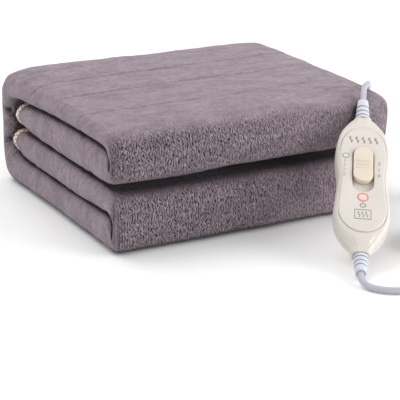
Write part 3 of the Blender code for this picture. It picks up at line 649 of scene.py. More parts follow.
def half_round(tip, base, low, high, count):
    """Points between (base, low) and (base, high), bulging out to the tip at mid height."""
    points = []
    for step in range(1, count + 1):
        angle = math.pi * (step / (count + 1) - 0.5)
        points.append((base + (tip - base) * math.cos(angle),
                       (low + high + (high - low) * math.sin(angle)) / 2))
    return points


def band_section(seen_step):
    """One closed outline of the four plies, as (x, share of the way from the inner to the outer side)."""
    left, right = -STACK_WIDTH / 2, STACK_WIDTH / 2
    hem = right - HEM_SETBACK
    outer_base = left + FOLD_DEPTH
    wrap_tip = left + FOLD_WALL
    wrap_base = wrap_tip + 6 * MM
    nest_tip = wrap_tip + FOLD_SLIP
    nest_base = nest_tip + 6 * MM
    core_tip = nest_tip + FOLD_WALL
    core_base = core_tip + 1.5 * MM
    turn_base = right - TURN_INSET
    turn_core = right - 5 * MM
    turn_core_base = turn_core - 1.5 * MM

    def run(start, end, level, spacing=HIDDEN_STEP):
        count = max(1, round(abs(end - start) / spacing))
        return [(start + (end - start) * step / count, level) for step in range(count + 1)]

    outline = run(hem, outer_base, 0.0, 2 * seen_step)
    outline += half_round(left, outer_base, 0.0, 1.0, 15)
    outline += run(outer_base, turn_base, 1.0, seen_step)
    outline += half_round(right, turn_base, 1.0, 0.5 + PLY_SLACK, 11)
    outline += run(turn_base, core_base, 0.5 + PLY_SLACK)
    outline += half_round(core_tip, core_base, 0.5 + PLY_SLACK, 0.5 - PLY_SLACK, 2)
    outline += run(core_base, hem, 0.5 - PLY_SLACK)
    outline += run(hem, nest_base, 0.25 + PLY_SLACK)
    outline += half_round(nest_tip, nest_base, 0.25 + PLY_SLACK, 0.75 - PLY_SLACK, 4)
    outline += run(nest_base, turn_core_base, 0.75 - PLY_SLACK)
    outline += half_round(turn_core, turn_core_base, 0.75 - PLY_SLACK, 0.75 + PLY_SLACK, 2)
    outline += run(turn_core_base, wrap_base, 0.75 + PLY_SLACK)
    outline += half_round(wrap_tip, wrap_base, 0.75 + PLY_SLACK, 0.25 - PLY_SLACK, 4)
    outline += run(wrap_base, hem, 0.25 - PLY_SLACK)
    return outline


Channel = namedtuple("Channel", "left_y right_y depth")
CHANNELS = (
    # The stitched channels on top: the places along Y of their ends and their depths, in millimetres.
    Channel(-1.5, 4.5, 1.15), Channel(-62.0, -61.4, 0.85), Channel(53.0, 60.5, 1.15),
    Channel(97.0, 101.0, 0.4), Channel(-104.0, -103.0, 0.3),
)


def station_step(point):
    """How far it is from a section at this point of the outside to the next one."""
    if point.z < MM:
        return UNDER_STEP
    if point.z > 0.112 and any(c.left_y - 5 < point.y / MM < c.right_y + 5 for c in CHANNELS):
        return CHANNEL_STEP
    return WRAP_STEP if point.y > 0.118 else SEEN_STEP


def band_stations():
    """The path's sections, each as its inner and outer point in the YZ plane and its place on the path."""
    inner = [Vector((0, row.inner_y, row.inner_z)) * MM for row in FOLDS]
    outer = [Vector((0, row.outer_y, row.outer_z)) * MM for row in FOLDS]
    steps = [24 * row.steps for row in FOLDS]
    fine_inner, fine_outer = smooth_rows(inner, steps), smooth_rows(outer, steps)
    runs = run_lengths(fine_outer)
    stations = []
    place = 0
    target = 0.0
    while target < runs[-1]:
        place, share = share_at(runs, target, place)
        near = fine_inner[place].lerp(fine_inner[place + 1], share)
        far = fine_outer[place].lerp(fine_outer[place + 1], share)
        far.z = min(max(far.z, 0.0), STACK_HEIGHT)
        stations.append((near, far, target))
        target += station_step(far)
    stations.append((fine_inner[-1], fine_outer[-1], runs[-1]))
    return stations


def band_ring(inner, outer, section, growth=0.0):
    """The section set between an inner and an outer point, grown outwards a little."""
    reach = (outer - inner).normalized() * growth
    low, high = inner - reach, outer + reach
    ring = []
    for x, share in section:
        point = low.lerp(high, share)
        point.x = x
        ring.append(settle(point))
    return ring


CREASES = (
    # Where the wrapped ply buckles at the left end: height, depth and half width, in millimetres.
    (77.0, 6.5, 2.4), (62.0, 3.0, 2.4), (45.0, 6.5, 2.4),
)


def pillowed(point, normal):
    """How far the cloth stands off the plain stack here: soft dents, channels and creases."""
    rise = 1.1 * MM * noise.noise(point * 24 + Vector((3.1, 0.4, 7.7)))
    rise += 0.5 * MM * noise.noise(point * 62 + Vector((9.2, 5.5, 1.3)))
    rise += 0.25 * MM * noise.noise(point * 170)
    left = ease(-0.3, -0.9, normal.x)
    rise += left * 1.3 * MM * noise.noise(point * 105 + Vector((4.4, 8.1, 2.6)))
    if point.z > 0.106 and normal.z > 0.5:
        for channel in CHANNELS:
            line = channel.left_y + (channel.right_y - channel.left_y) * (point.x / STACK_WIDTH + 0.5)
            line += 0.8 * noise.noise(Vector((point.x * 14, line, 0)))
            pucker = 1 + 0.35 * noise.noise(Vector((point.x * 40, line, 5.0)))
            rise -= channel.depth * MM * pucker * math.exp(-((point.y / MM - line) / 2.3) ** 2)
    if point.y > 0.1:
        for height, depth, half_width in CREASES:
            off = point.z / MM - height - 4 * noise.noise(Vector((point.y * 60, height, 0)))
            rise -= left * ease(0.137, 0.118, point.y) * depth * MM * math.exp(-(off / half_width) ** 2)
    return rise


section = band_section(SEEN_STEP)
stations = band_stations()
rings = [band_ring(near, far, section) for near, far, _ in stations]
count = len(section)
outside = section.index((STACK_WIDTH / 2 - TURN_INSET, 0.5 + PLY_SLACK))
around = run_lengths([Vector((x, share * BAND_THICKNESS, 0)) for x, share in section])
data = bpy.data.meshes.new("folded_sheet")
faces = [tuple(reversed(range(count))), tuple(range((len(rings) - 1) * count, len(rings) * count))]
for ring in range(len(rings) - 1):
    for index in range(count):
        after = (index + 1) % count
        faces.append((ring * count + index, ring * count + after,
                      (ring + 1) * count + after, (ring + 1) * count + index))
data.from_pydata([point for ring in rings for point in ring], [], faces)
shape = bmesh.new()
shape.from_mesh(data)
bmesh.ops.recalc_face_normals(shape, faces=shape.faces)
shape.normal_update()
shape.verts.ensure_lookup_table()
weave = shape.loops.layers.uv.new("weave")
ring_run = [run for _, _, run in stations]
for face in shape.faces:
    for loop in face.loops:
        ring, index = divmod(loop.vert.index, count)
        loop[weave].uv = (around[index], ring_run[ring])
offsets = []
for vert in shape.verts:
    share = section[vert.index % count][1]
    shows = ease(0.55, 1.0, share) + ease(0.45, 0.0, share) if vert.index % count < outside else 0.0
    if vert.co.z < 2 * MM:
        shows = 0.0
    offsets.append(pillowed(vert.co, vert.normal) * min(shows, 1.0))
for vert, offset in zip(shape.verts, offsets):
    vert.co += vert.normal * offset
    vert.co.z = max(vert.co.z, 0.0)
shape.to_mesh(data)
shape.free()

# Coral fleece: brushed, heat-set polyester pile in short curled tufts that lie down the cloth in wavy
# rows 2.7 mm apart, coarser than real ones so that they show. It has no gloss, only the pale sheen of
# fibre tips. The pile stands open on the fronts, with painted shade in the gaps between the tufts. That
# painted shade and the pile's bump both weaken towards the right end, so the fronts come out lighter
# there. Elsewhere the pile is pressed flat, where its nap is mottled. Painted shade also darkens the
# folds, the gap between the bundles and the creases.
TUFT_PITCH = 0.0027
coral_fleece, tree, shader = material("coral fleece", "#8E7F8A", 0.95, Sheen_Weight=0.25,
                                      Sheen_Roughness=0.45, Sheen_Tint=linear("#E9DCE6"),
                                      Specular_IOR_Level=0.1)
cloth = node(tree, "ShaderNodeUVMap", uv_map="weave").outputs["UV"]
rows = node(tree, "ShaderNodeMapping", {"Vector": cloth, "Scale": (210.0, 300.0, 1.0)}).outputs["Vector"]
curl = node(tree, "ShaderNodeTexNoise", {"Vector": rows, "Scale": 1.0, "Detail": 1.0}).outputs["Fac"]
curled = node(tree, "ShaderNodeMath", {0: curl, 1: 17.0}, operation="MULTIPLY").outputs[0]
across_cloth = node(tree, "ShaderNodeSeparateXYZ", {"Vector": cloth}).outputs["X"]
phase = node(tree, "ShaderNodeMath", {0: across_cloth, 1: 2 * math.pi / TUFT_PITCH, 2: curled},
             operation="MULTIPLY_ADD").outputs[0]
strand = node(tree, "ShaderNodeMath", {0: phase}, operation="SINE").outputs[0]
tuft = node(tree, "ShaderNodeMapRange", {"Value": strand, "From Min": -1.0, "From Max": 0.6,
                                         "To Max": 0.75}).outputs["Result"]
fine = node(tree, "ShaderNodeMapping", {"Vector": cloth, "Scale": (560.0, 300.0, 1.0)}).outputs["Vector"]
fibre = node(tree, "ShaderNodeTexNoise", {"Vector": fine, "Scale": 1.0, "Detail": 1.0}).outputs["Fac"]
fibres = node(tree, "ShaderNodeMapRange", {"Value": fibre, "From Min": 0.36, "From Max": 0.64,
                                           "To Max": 0.6}).outputs["Result"]
pile = node(tree, "ShaderNodeMath", {0: tuft, 1: fibres}, operation="ADD").outputs[0]
surface = node(tree, "ShaderNodeNewGeometry").outputs
facing = node(tree, "ShaderNodeSeparateXYZ", {"Vector": surface["Normal"]})
upright = node(tree, "ShaderNodeMath", {0: facing.outputs["Y"]}, operation="ABSOLUTE").outputs[0]
opened = node(tree, "ShaderNodeMapRange", {"Value": upright, "From Min": 0.15, "From Max": 0.85,
                                           "To Min": 0.22, "To Max": 1.0}).outputs["Result"]
# Painted shade between the tufts: the low parts of the pile pattern, weighted most on faces that look to the
# front or back.
gap_shade = node(tree, "ShaderNodeMapRange", {"Value": pile, "From Min": 0.15, "From Max": 1.2,
                                              "To Min": 1.0, "To Max": 0.0}).outputs["Result"]
# The painted gap shade and the pile's bump both weaken from x = -0.05 m to 0.13 m, so the fronts come out
# lighter towards the right end.
along = node(tree, "ShaderNodeSeparateXYZ", {"Vector": surface["Position"]})
weaker_to_right = node(tree, "ShaderNodeMapRange", {"Value": along.outputs["X"], "From Min": -0.05, "From Max": 0.13,
                                         "To Min": 1.0, "To Max": 0.6}).outputs["Result"]
gap_and_bump_strength = node(tree, "ShaderNodeMath", {0: opened, 1: weaker_to_right}, operation="MULTIPLY").outputs[0]
shade = node(tree, "ShaderNodeMath", {0: gap_shade, 1: gap_and_bump_strength}, operation="MULTIPLY").outputs[0]
brushed = node(tree, "ShaderNodeMapping", {"Vector": cloth, "Scale": (34.0, 62.0, 1.0)}).outputs["Vector"]
streaks = node(tree, "ShaderNodeTexNoise", {"Vector": brushed, "Scale": 1.0, "Detail": 4.0}).outputs["Fac"]
patches = node(tree, "ShaderNodeTexNoise", {"Vector": cloth, "Scale": 150.0, "Detail": 2.0}).outputs["Fac"]
mottle = node(tree, "ShaderNodeMath", {0: streaks, 1: patches}, operation="ADD").outputs[0]
nap = node(tree, "ShaderNodeMapRange", {"Value": mottle, "From Min": 0.60,
                                        "From Max": 1.40}).outputs["Result"]
worn = node(tree, "ShaderNodeMix", {"Factor": nap, "A": linear("#796C75"), "B": linear("#A09299")},
            data_type="RGBA").outputs["Result"]
# Painted shade: the gaps between the tufts are mixed towards near black over the mottled colour.
tuft_gap_shaded = node(tree, "ShaderNodeMix", {"Factor": shade, "A": worn, "B": linear("#1F181C")},
              data_type="RGBA").outputs["Result"]
# Painted shade: where the sheet's own plies close in within 34 mm, in the folds, the hollow and the gap
# between the bundles, the colour sinks towards near black.
fold_shade_ao = node(tree, "ShaderNodeAmbientOcclusion", {"Distance": 0.034}, samples=8,
                   only_local=True).outputs["AO"]
fold_shade_mask = node(tree, "ShaderNodeMapRange", {"Value": fold_shade_ao, "From Min": 0.42, "From Max": 0.90})
fold_shaded = node(tree, "ShaderNodeMix", {"Factor": fold_shade_mask.outputs["Result"], "A": linear("#1B1519"),
                                         "B": tuft_gap_shaded}, data_type="RGBA").outputs["Result"]
# Painted shade: in narrow creases and crevices, within 11 mm, the colour sinks further to almost black.
crease_shade_ao = node(tree, "ShaderNodeAmbientOcclusion", {"Distance": 0.011}, samples=8).outputs["AO"]
depth = node(tree, "ShaderNodeMapRange", {"Value": crease_shade_ao, "From Min": 0.36, "From Max": 0.72})
crease_shaded = node(tree, "ShaderNodeMix", {"Factor": depth.outputs["Result"], "A": linear("#120E11"),
                                    "B": fold_shaded}, data_type="RGBA").outputs["Result"]
tree.links.new(crease_shaded, shader.inputs["Base Color"])
standing = node(tree, "ShaderNodeMath", {0: pile, 1: gap_and_bump_strength}, operation="MULTIPLY").outputs[0]
bump = node(tree, "ShaderNodeBump", {"Height": standing, "Strength": 0.8, "Distance": 0.0010})
tree.links.new(bump.outputs["Normal"], shader.inputs["Normal"])

folded_sheet = link_object("folded_sheet", data, coral_fleece, 75)
register(folded_sheet, "fleece", "blanket")

# ------------------------------------------------------------ the bound edges
# Cream satin ribbon, folded over the sheet's two cut ends and overlocked with gold thread. The four
# plies of each end are bound alike, so a turned end shows as a small rounded roll.

THREAD_RADIUS = 0.5 * MM
STITCH_PITCH = 4.6 * MM
THREAD_STANDOFF = 0.85 * MM

satin_ribbon, tree, shader = material("satin ribbon", "#F6EAD6", 0.42, Sheen_Weight=0.25,
                                      Anisotropic=0.3)
place = node(tree, "ShaderNodeTexCoord").outputs["Object"]
ribs = node(tree, "ShaderNodeMapping", {"Vector": place, "Scale": (1500.0, 1500.0, 900.0)}).outputs["Vector"]
weft = node(tree, "ShaderNodeTexNoise", {"Vector": ribs, "Scale": 1.0, "Detail": 2.0}).outputs["Fac"]
tint = node(tree, "ShaderNodeMix", {"Factor": weft, "A": linear("#EADBC0"), "B": linear("#FBF4E6")},
            data_type="RGBA")
tree.links.new(tint.outputs["Result"], shader.inputs["Base Color"])
bump = node(tree, "ShaderNodeBump", {"Height": weft, "Strength": 0.35, "Distance": 0.0003})
tree.links.new(bump.outputs["Normal"], shader.inputs["Normal"])

gold_thread, tree, shader = material("gold polyester thread", "#A0672F", 0.5, Sheen_Weight=0.3)
place = node(tree, "ShaderNodeTexCoord").outputs["Object"]
twist = node(tree, "ShaderNodeTexWave", {"Vector": place, "Scale": 900.0, "Distortion": 2.0},
             bands_direction="DIAGONAL")
tint = node(tree, "ShaderNodeMix", {"Factor": twist.outputs["Fac"], "A": linear("#6E3A18"),
                                    "B": linear("#B06F38")}, data_type="RGBA")
tree.links.new(tint.outputs["Result"], shader.inputs["Base Color"])

binding_section = band_section(8 * MM)
turn_start = binding_section.index((STACK_WIDTH / 2 - TURN_INSET, 0.5 + PLY_SLACK))
binding_outside = binding_section[:turn_start]


def bound_edge(name, end, before, replaced):
    """The ribbon on one end of the band, and its thread."""
    heading = ((end[0] + end[1]) - (before[0] + before[1])).normalized()

    def ring_at(run, growth, outline=binding_section):
        return band_ring(end[0] + heading * run, end[1] + heading * run, outline, growth)

    levels = ((0.3, -0.4), (0.35, 0.2), (0.9, 0.55), (1.8, 0.7), (3.6, 0.7), (4.8, 0.5), (5.5, -0.1),
              (5.9, -1.0))
    folded = loft([ring_at(run * MM, grown * MM) for run, grown in levels])
    ribbon = link_object(name, mesh_from(name, folded), satin_ribbon, 60)
    register(ribbon, "binding", replaced)

    near, far = (evenly(ring_at(run * MM, THREAD_STANDOFF, binding_outside), STITCH_PITCH, 3)
                 for run in (0.5, 4.9))
    turns = min(len(near), len(far)) - 1
    zigzag = []
    for index in range(turns):
        zigzag += [near[index], far[index].lerp(far[index + 1], 0.5)]
    bodies = []
    for start, stop in zip(zigzag, zigzag[1:]):
        middle, reach = (start + stop) / 2, (stop - start) / 2
        side = reach.orthogonal().normalized()
        other = reach.normalized().cross(side)
        rings = []
        for share, grown in ((-1.0, 0.5), (-0.85, 1.0), (0.85, 1.0), (1.0, 0.5)):
            spokes = [math.cos(a) * side + math.sin(a) * other for a in (math.pi / 3 * k for k in range(6))]
            rings.append([middle + reach * share + THREAD_RADIUS * grown * spoke for spoke in spokes])
        bodies.append(loft(rings))
    stitches = link_object(name + "_stitches", joined(name + "_stitches", bodies), gold_thread, 60)
    return ribbon, register(stitches, "binding")


upper_bound = bound_edge("upper_ribbon", stations[0], stations[2], "binding_upper")
lower_bound = bound_edge("lower_ribbon", stations[-1], stations[-3], "binding_lower")

# ------------------------------------------------------------ the controller's two shells
# Injection-moulded cream ABS. The back and front shells meet in a shadow line round the waist and
# draw in to round necks that grip the sleeves. The front shell has a shallow pocket for the face.

Width = namedtuple("Width", "along half_width")
HOUSING_WIDTHS = (
    Width(77.5, 7.6), Width(74.5, 8.6), Width(71.5, 11.6), Width(62, 17.2), Width(51, 21.2),
    Width(36, 23.4), Width(20, 23.0), Width(3, 21.4), Width(-15, 22.6), Width(-35, 24.0),
    Width(-50, 21.8), Width(-63, 15.6), Width(-70, 10.4), Width(-74.5, 8.4), Width(-77.5, 7.6),
)
PLATE_WIDTHS = (
    Width(59.0, 3.0), Width(57.4, 8.4), Width(52.5, 13.8), Width(44, 18.0), Width(33, 20.0),
    Width(20, 19.8), Width(3, 18.2), Width(-15, 19.2), Width(-34, 20.6), Width(-46, 18.4),
    Width(-54, 12.8), Width(-58, 7.0), Width(-59.0, 3.0),
)
FACE = 22.0               # from the back to the rim of the face
PLATE_TOP = 22.9
POCKET = 19.0
NECK_RADIUS = 7.4
OUTLINE_POINTS = 200

# ABS moulded against a fine spark-eroded texture: an even satin skin with a broad soft highlight.
cream_abs, tree, shader = material("cream moulded ABS", "#D1CAC3", 0.42, IOR=1.53, Subsurface_Weight=0.04,
                                   Subsurface_Scale=0.002)
place = node(tree, "ShaderNodeTexCoord").outputs["Object"]
flow = node(tree, "ShaderNodeTexNoise", {"Vector": place, "Scale": 34.0, "Detail": 2.0})
tint = node(tree, "ShaderNodeMix", {"Factor": flow.outputs["Fac"], "A": linear("#CCC5BE"),
                                    "B": linear("#D5CEC7")}, data_type="RGBA")
# Painted shade: within 6 mm of closing surfaces, in the seams, at the pocket's edge and in other hollows,
# the colour darkens to a brownish grey.
hollow_shade = node(tree, "ShaderNodeAmbientOcclusion", {"Distance": 0.006}, samples=6)
shaded = node(tree, "ShaderNodeMix", {"Factor": hollow_shade.outputs["AO"], "A": linear("#B4A79C"),
                                      "B": tint.outputs["Result"]}, data_type="RGBA")
tree.links.new(shaded.outputs["Result"], shader.inputs["Base Color"])
texture = node(tree, "ShaderNodeTexNoise", {"Vector": place, "Scale": 2600.0, "Detail": 1.0})
bump = node(tree, "ShaderNodeBump", {"Height": texture.outputs["Fac"], "Strength": 0.12,
                                     "Distance": 0.00015})
tree.links.new(bump.outputs["Normal"], shader.inputs["Normal"])


def waisted_outline(widths, count=OUTLINE_POINTS):
    """A mirrored outline from (along, half width) rows, as evenly spaced (across, along) points."""
    half = smooth_rows([Vector((row.along, row.half_width, 0)) for row in widths], [12] * len(widths))
    loop = half + [Vector((v.x, -v.y, 0)) for v in reversed(half)]
    loop.append(loop[0])
    runs = run_lengths(loop)
    points = []
    place = 0
    for step in range(count):
        place, share = share_at(runs, runs[-1] * step / count, place)
        spot = loop[place].lerp(loop[place + 1], share)
        points.append((spot.y, spot.x))
    return points


def inset_outline(outline, inset):
    """The outline drawn in: across by the inset, and along in proportion."""
    longest = max(along for _, along in outline)
    shrink = (longest - 0.35 * inset) / longest
    return [(math.copysign(max(abs(across) - inset, 1.0), across), along * shrink)
            for across, along in outline]


def necked(out, along):
    """Thin the body towards its round necks: the half thickness eases down to the neck's radius."""
    squeeze = 1 - ease(52, 74, abs(along)) * (1 - NECK_RADIUS / HALF_THICKNESS)
    return HALF_THICKNESS + (out - HALF_THICKNESS) * squeeze


def shell_ring(outline, out, inset):
    return [on_controller(a, b, necked(out, b)) for a, b in inset_outline(outline, inset)]


def controller_piece(name, rings, finish, slot_name, *replaced, sharp_from=38):
    return register(link_object(name, mesh_from(name, loft(rings)), finish, sharp_from),
                    slot_name, *replaced)


def round_rings(middle, rows, sides=48):
    """Rings about a place on the face, from (radius, out) rows."""
    angles = [2 * math.pi * k / sides for k in range(sides)]
    return [[on_controller(middle[0] + radius * math.cos(a), middle[1] + radius * math.sin(a), out)
             for a in angles] for radius, out in rows]


housing = waisted_outline(HOUSING_WIDTHS)
plate_outline = waisted_outline(PLATE_WIDTHS)
back_levels = ((0.0, 6.4), (0.05, 5.2), (0.4, 3.9), (1.0, 2.8), (1.8, 1.9), (2.9, 1.15), (4.2, 0.55),
               (6.0, 0.15), (9.0, 0.0), (11.6, 0.0), (11.85, 0.15), (11.95, 0.5), (11.95, 1.6))
rings = [shell_ring(housing, out, inset) for out, inset in back_levels]
controller_piece("back_shell", rings, cream_abs, "cream_plastic", "controller_back")

front_levels = ((12.35, 1.6), (12.35, 0.5), (12.45, 0.15), (12.7, 0.0), (15.0, 0.05), (17.0, 0.22),
                (18.6, 0.55), (19.8, 1.0), (20.7, 1.55), (21.3, 2.1), (21.7, 2.6), (21.93, 3.1),
                (FACE, 3.5))
rings = [shell_ring(housing, out, inset) for out, inset in front_levels]
rim, seam = inset_outline(housing, 3.5), inset_outline(plate_outline, -0.7)
for share in (0.2, 0.4, 0.6, 0.8):
    ring = []
    for (outer_across, outer_along), (across, along) in zip(rim, seam):
        spot = outer_along + (along - outer_along) * share
        out = necked(FACE, spot) * (1 - share) + FACE * share
        ring.append(on_controller(outer_across + (across - outer_across) * share, spot, out))
    rings.append(ring)
for out, inset in ((FACE, -0.7), (21.93, -0.35), (21.75, -0.12), (POCKET, 0.0)):
    rings.append([on_controller(a, b, out) for a, b in inset_outline(plate_outline, inset)])
controller_piece("front_shell", rings, cream_abs, "cream_plastic", "controller_front")

# Two countersunk screws hold the shells together from the back, sunk in round wells.
zinc_screw, tree, shader = material("zinc-plated steel", "#B9BCC0", 0.35, Metallic=1.0)
place = node(tree, "ShaderNodeTexCoord").outputs["Object"]
spots = node(tree, "ShaderNodeTexNoise", {"Vector": place, "Scale": 900.0, "Detail": 2.0})
rough = node(tree, "ShaderNodeMapRange", {"Value": spots.outputs["Fac"], "To Min": 0.25, "To Max": 0.5})
tree.links.new(rough.outputs["Result"], shader.inputs["Roughness"])
# The cross in each head is not cut in: a thin dark cross laid on the head is painted shade that stands for
# the shade in a cross recess.
recess_shade, tree, shader = material("shadowed screw recess", "#3A3A3C", 0.6)
SCREW_CROSS = (
    (1.5, 0.25), (0.25, 0.25), (0.25, 1.5), (-0.25, 1.5), (-0.25, 0.25), (-1.5, 0.25),
    (-1.5, -0.25), (-0.25, -0.25), (-0.25, -1.5), (0.25, -1.5), (0.25, -0.25), (1.5, -0.25),
)
for index, along in enumerate((50.0, -50.0)):
    head = round_rings((0.0, along), ((2.6, 0.3), (2.6, -0.02), (2.4, -0.22), (1.2, -0.34)), 32)
    controller_piece(f"screw_{index + 1}", head, zinc_screw, "blade")
    cross = [[on_controller(a, along + b, out) for a, b in SCREW_CROSS] for out in (-0.3, -0.37)]
    controller_piece(f"screw_recess_{index + 1}", cross, recess_shade, "blade")

# ------------------------------------------------------------ the controller's face
# One raised plate in the same ABS, dropped into the pocket, with a stadium slot for the switch. The
# slot's floor is part of the plate.

SLOT_TOP, SLOT_BOTTOM, SLOT_HALF_WIDTH = 35.4, -15.4, 9.2


def stadium(half_width, top, bottom, inset=0.0, count=OUTLINE_POINTS):
    """A slot's outline with half-round ends, evenly spaced from its top, clockwise."""
    radius = half_width - inset
    centres = (top - half_width, bottom + half_width)
    straight_run = centres[0] - centres[1]
    total = 2 * straight_run + 2 * math.pi * radius
    points = []
    for step in range(count):
        run = total * step / count
        if run < math.pi * radius / 2:
            angle = math.pi / 2 - run / radius
            points.append((radius * math.cos(angle), centres[0] + radius * math.sin(angle)))
            continue
        run -= math.pi * radius / 2
        if run < straight_run:
            points.append((radius, centres[0] - run))
            continue
        run -= straight_run
        if run < math.pi * radius:
            angle = -run / radius
            points.append((radius * math.cos(angle), centres[1] + radius * math.sin(angle)))
            continue
        run -= math.pi * radius
        if run < straight_run:
            points.append((-radius, centres[1] + run))
            continue
        run -= straight_run
        angle = math.pi - run / radius
        points.append((radius * math.cos(angle), centres[0] + radius * math.sin(angle)))
    return points


rings = []
for out, inset in ((POCKET + 0.3, 0.07), (21.7, 0.07), (22.15, 0.2), (22.5, 0.5), (22.75, 0.95),
                   (22.87, 1.5), (PLATE_TOP, 2.1)):
    rings.append([on_controller(a, b, out) for a, b in inset_outline(plate_outline, inset)])
for out, inset in ((PLATE_TOP, -0.75), (22.82, -0.4), (22.6, -0.12), (22.2, 0.0), (POCKET + 0.55, 0.0)):
    rings.append([on_controller(a, b, out) for a, b in
                  stadium(SLOT_HALF_WIDTH, SLOT_TOP, SLOT_BOTTOM, inset)])
controller_piece("face_plate", rings, cream_abs, "cream_plastic", "controller_plate")

# ------------------------------------------------------------ the slide switch
# A stadium knob in slightly yellower ABS that the thumb pushes along the slot through its three
# settings. It is dished in the middle, with three ridges across for grip.

KNOB_TOP, KNOB_BOTTOM, KNOB_HALF_WIDTH, KNOB_HEIGHT = 34.4, -4.8, 8.5, 25.2
KNOB_MIDDLE = (KNOB_TOP + KNOB_BOTTOM) / 2
KNOB_FOOT = POCKET + 0.75
KNOB_POINTS = 160

ivory_abs, tree, shader = material("ivory moulded ABS", "#D8CBBA", 0.38, IOR=1.53, Subsurface_Weight=0.05,
                                   Subsurface_Scale=0.002)
place = node(tree, "ShaderNodeTexCoord").outputs["Object"]
flow = node(tree, "ShaderNodeTexNoise", {"Vector": place, "Scale": 60.0, "Detail": 2.0})
tint = node(tree, "ShaderNodeMix", {"Factor": flow.outputs["Fac"], "A": linear("#D3C6B4"),
                                    "B": linear("#DCD0C0")}, data_type="RGBA")
# Painted shade: within 4 mm of closing surfaces, between the grip ridges and where the knob meets the slot,
# the colour darkens to a brown.
hollow_shade = node(tree, "ShaderNodeAmbientOcclusion", {"Distance": 0.004}, samples=6)
shaded = node(tree, "ShaderNodeMix", {"Factor": hollow_shade.outputs["AO"], "A": linear("#A98F6B"),
                                      "B": tint.outputs["Result"]}, data_type="RGBA")
tree.links.new(shaded.outputs["Result"], shader.inputs["Base Color"])


def knob_height(across, along):
    """The knob's top: crowned at the ends, dished across the middle, with three grip ridges."""
    from_middle = (along - KNOB_MIDDLE) / (KNOB_TOP - KNOB_MIDDLE)
    height = KNOB_HEIGHT - 0.9 * math.exp(-(from_middle / 0.42) ** 2) - 0.3 * (across / KNOB_HALF_WIDTH) ** 2
    if abs(across) < 7.3:
        for ridge in (4.2, 0.2, -3.8):
            crest = math.exp(-((along - KNOB_MIDDLE - ridge) / 0.62) ** 2)
            height += 0.75 * crest * ease(7.3, 6.5, abs(across))
    return height


rings = []
for inset, share in ((0.0, 0.0), (0.0, 0.82), (0.06, 0.92), (0.22, 0.97), (0.5, 1.0)):
    rings.append([on_controller(a, b, KNOB_FOOT + (knob_height(a, b) - KNOB_FOOT) * share)
                  for a, b in stadium(KNOB_HALF_WIDTH, KNOB_TOP, KNOB_BOTTOM, inset, KNOB_POINTS)])
for keep in (0.86, 0.7, 0.52, 0.34, 0.17):
    rings.append([on_controller(across * keep, along, knob_height(across * keep, along))
                  for across, along in stadium(KNOB_HALF_WIDTH, KNOB_TOP, KNOB_BOTTOM, 0.5, KNOB_POINTS)])
shape = loft(rings)
shape.faces.ensure_lookup_table()
shape.faces.remove(shape.faces[-1])
last = list(shape.verts)[-KNOB_POINTS:]
for index in range(KNOB_POINTS // 2):
    corners = (last[index], last[index + 1], last[KNOB_POINTS - 1 - index], last[-index])
    shape.faces.new(list(dict.fromkeys(corners)))
knob = link_object("switch_knob", mesh_from("switch_knob", shape), ivory_abs, 45)
register(knob, "ivory_plastic", "slider", body="switch")

# ------------------------------------------------------------ the two lamps
# Polycarbonate lenses pressed into the plate from behind: a pale pink one in a red ring that glows
# while the blanket is on, and a small clear one in a grey ring beside the switch.

LAMPS = (
    # piece, CAD node, place, outer and inner radius, ring colour, lens colour, slot
    ("power_lamp", "lamp_power", (0.0, -21.8), 4.9, 3.5, "#CF8480", "#EFC6C1", "red_lens"),
    ("setting_lamp", "lamp_setting", (-15.2, 24.8), 3.1, 2.3, "#8E8783", "#D3CDC7", "clear_lens"),
)
for name, cad_node, middle, outer, inner, ring_colour, lens_colour, slot_name in LAMPS:
    ring_finish, tree, shader = material(name + " ring", ring_colour, 0.35, IOR=1.58)
    place = node(tree, "ShaderNodeTexCoord").outputs["Object"]
    cloud = node(tree, "ShaderNodeTexNoise", {"Vector": place, "Scale": 700.0, "Detail": 1.0})
    rough = node(tree, "ShaderNodeMapRange", {"Value": cloud.outputs["Fac"], "To Min": 0.28, "To Max": 0.42})
    tree.links.new(rough.outputs["Result"], shader.inputs["Roughness"])
    lens_finish, tree, shader = material(name + " lens", lens_colour, 0.18, IOR=1.58, Coat_Weight=0.3)
    place = node(tree, "ShaderNodeTexCoord").outputs["Object"]
    facets = node(tree, "ShaderNodeTexVoronoi", {"Vector": place, "Scale": 1100.0})
    bump = node(tree, "ShaderNodeBump", {"Height": facets.outputs["Distance"], "Strength": 0.15,
                                         "Distance": 0.0002})
    tree.links.new(bump.outputs["Normal"], shader.inputs["Normal"])

    controller_piece(name + "_ring", round_rings(middle, (
        (outer, PLATE_TOP - 0.3), (outer, PLATE_TOP + 0.05), (outer - 0.15, PLATE_TOP + 0.2),
        (inner + 0.2, PLATE_TOP + 0.24), (inner, PLATE_TOP + 0.1), (inner, PLATE_TOP - 0.25),
    )), ring_finish, slot_name)
    controller_piece(name, round_rings(middle, (
        (inner - 0.05, PLATE_TOP - 0.2), (inner - 0.05, PLATE_TOP + 0.12), (inner * 0.9, PLATE_TOP + 0.3),
        (inner * 0.6, PLATE_TOP + 0.46), (inner * 0.25, PLATE_TOP + 0.52),
    )), lens_finish, slot_name, cad_node)

# ------------------------------------------------------------ the printed marks
# Grey pad-printed ink, a tenth of a millimetre thick here: waves of heat above the switch, a scale
# beside the small lamp, the numbers of the three settings, a power sign and a warm-pad sign.

grey_ink, tree, shader = material("grey pad-printing ink", "#8B8581", 0.6)
place = node(tree, "ShaderNodeTexCoord").outputs["Object"]
cover = node(tree, "ShaderNodeTexNoise", {"Vector": place, "Scale": 1500.0, "Detail": 2.0})
tint = node(tree, "ShaderNodeMix", {"Factor": cover.outputs["Fac"], "A": linear("#7C7672"),
                                    "B": linear("#9A948F")}, data_type="RGBA")
tree.links.new(tint.outputs["Result"], shader.inputs["Base Color"])
INK_BASE, INK_TOP = PLATE_TOP - 0.05, PLATE_TOP + 0.07


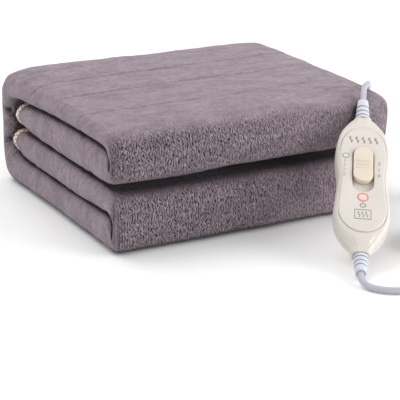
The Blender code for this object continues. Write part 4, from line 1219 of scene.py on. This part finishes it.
def wave(across, along, width, height, count=12):
    return [(across + width * math.sin(2 * math.pi * k / count), along + height * (k / count - 0.5))
            for k in range(count + 1)]


def arc(across, along, radius, start, stop, count=20, tall=1.0):
    return [(across + radius * math.cos(math.radians(start + (stop - start) * k / count)),
             along + tall * radius * math.sin(math.radians(start + (stop - start) * k / count)))
            for k in range(count + 1)]


MARKS = {
    "heat_waves": [(0.68, wave(-11.0 + 5.5 * k, 44.3, 1.0, 7.0)) for k in range(5)],
    "scale_marks": [(0.34, [(-17.0, 19.2 - 2.6 * k), (-17.0 + (2.6 if k % 2 == 0 else 1.5), 19.2 - 2.6 * k)])
                    for k in range(8)],
    "setting_2": [(0.3, arc(13.4, 18.2, 1.0, 160, -30, 10) + [(12.3, 15.6), (14.5, 15.6)])],
    "setting_1": [(0.3, [(12.8, 11.5), (13.5, 12.2), (13.5, 9.0)])],
    "setting_0": [(0.3, arc(13.4, 4.0, 1.0, 0, 360, 20, 1.5))],
    "power_sign": [(0.45, arc(0, -30.6, 2.3, 125, 415, 24)), (0.45, [(0, -27.4), (0, -30.4)])],
    "warm_pad_sign": [
        (0.5, [(-6.8, -35.6), (6.8, -35.6), (6.8, -45.6), (-6.8, -45.6), (-6.8, -35.6)]),
        *((0.42, wave(across, -40.6, 0.9, 6.0)) for across in (-3.2, 0.0, 3.2)),
    ],
}
for name, strokes in MARKS.items():
    bodies = []
    for half_width, line in strokes:
        rings = []
        closed = math.dist(line[0], line[-1]) < 1e-6
        for index, (across, along) in enumerate(line):
            before = line[index - 1] if index else (line[-2] if closed else line[0])
            after = line[index + 1] if index + 1 < len(line) else (line[1] if closed else line[-1])
            heading = Vector((after[0] - before[0], after[1] - before[1])).normalized()
            side = Vector((-heading.y, heading.x)) * half_width
            rings.append([on_controller(across + side.x * s, along + side.y * s, out)
                          for s, out in ((-1, INK_BASE), (1, INK_BASE), (1, INK_TOP), (-1, INK_TOP))])
        bodies.append(loft(rings))
    register(link_object(name, joined(name, bodies), grey_ink), "cream_plastic")
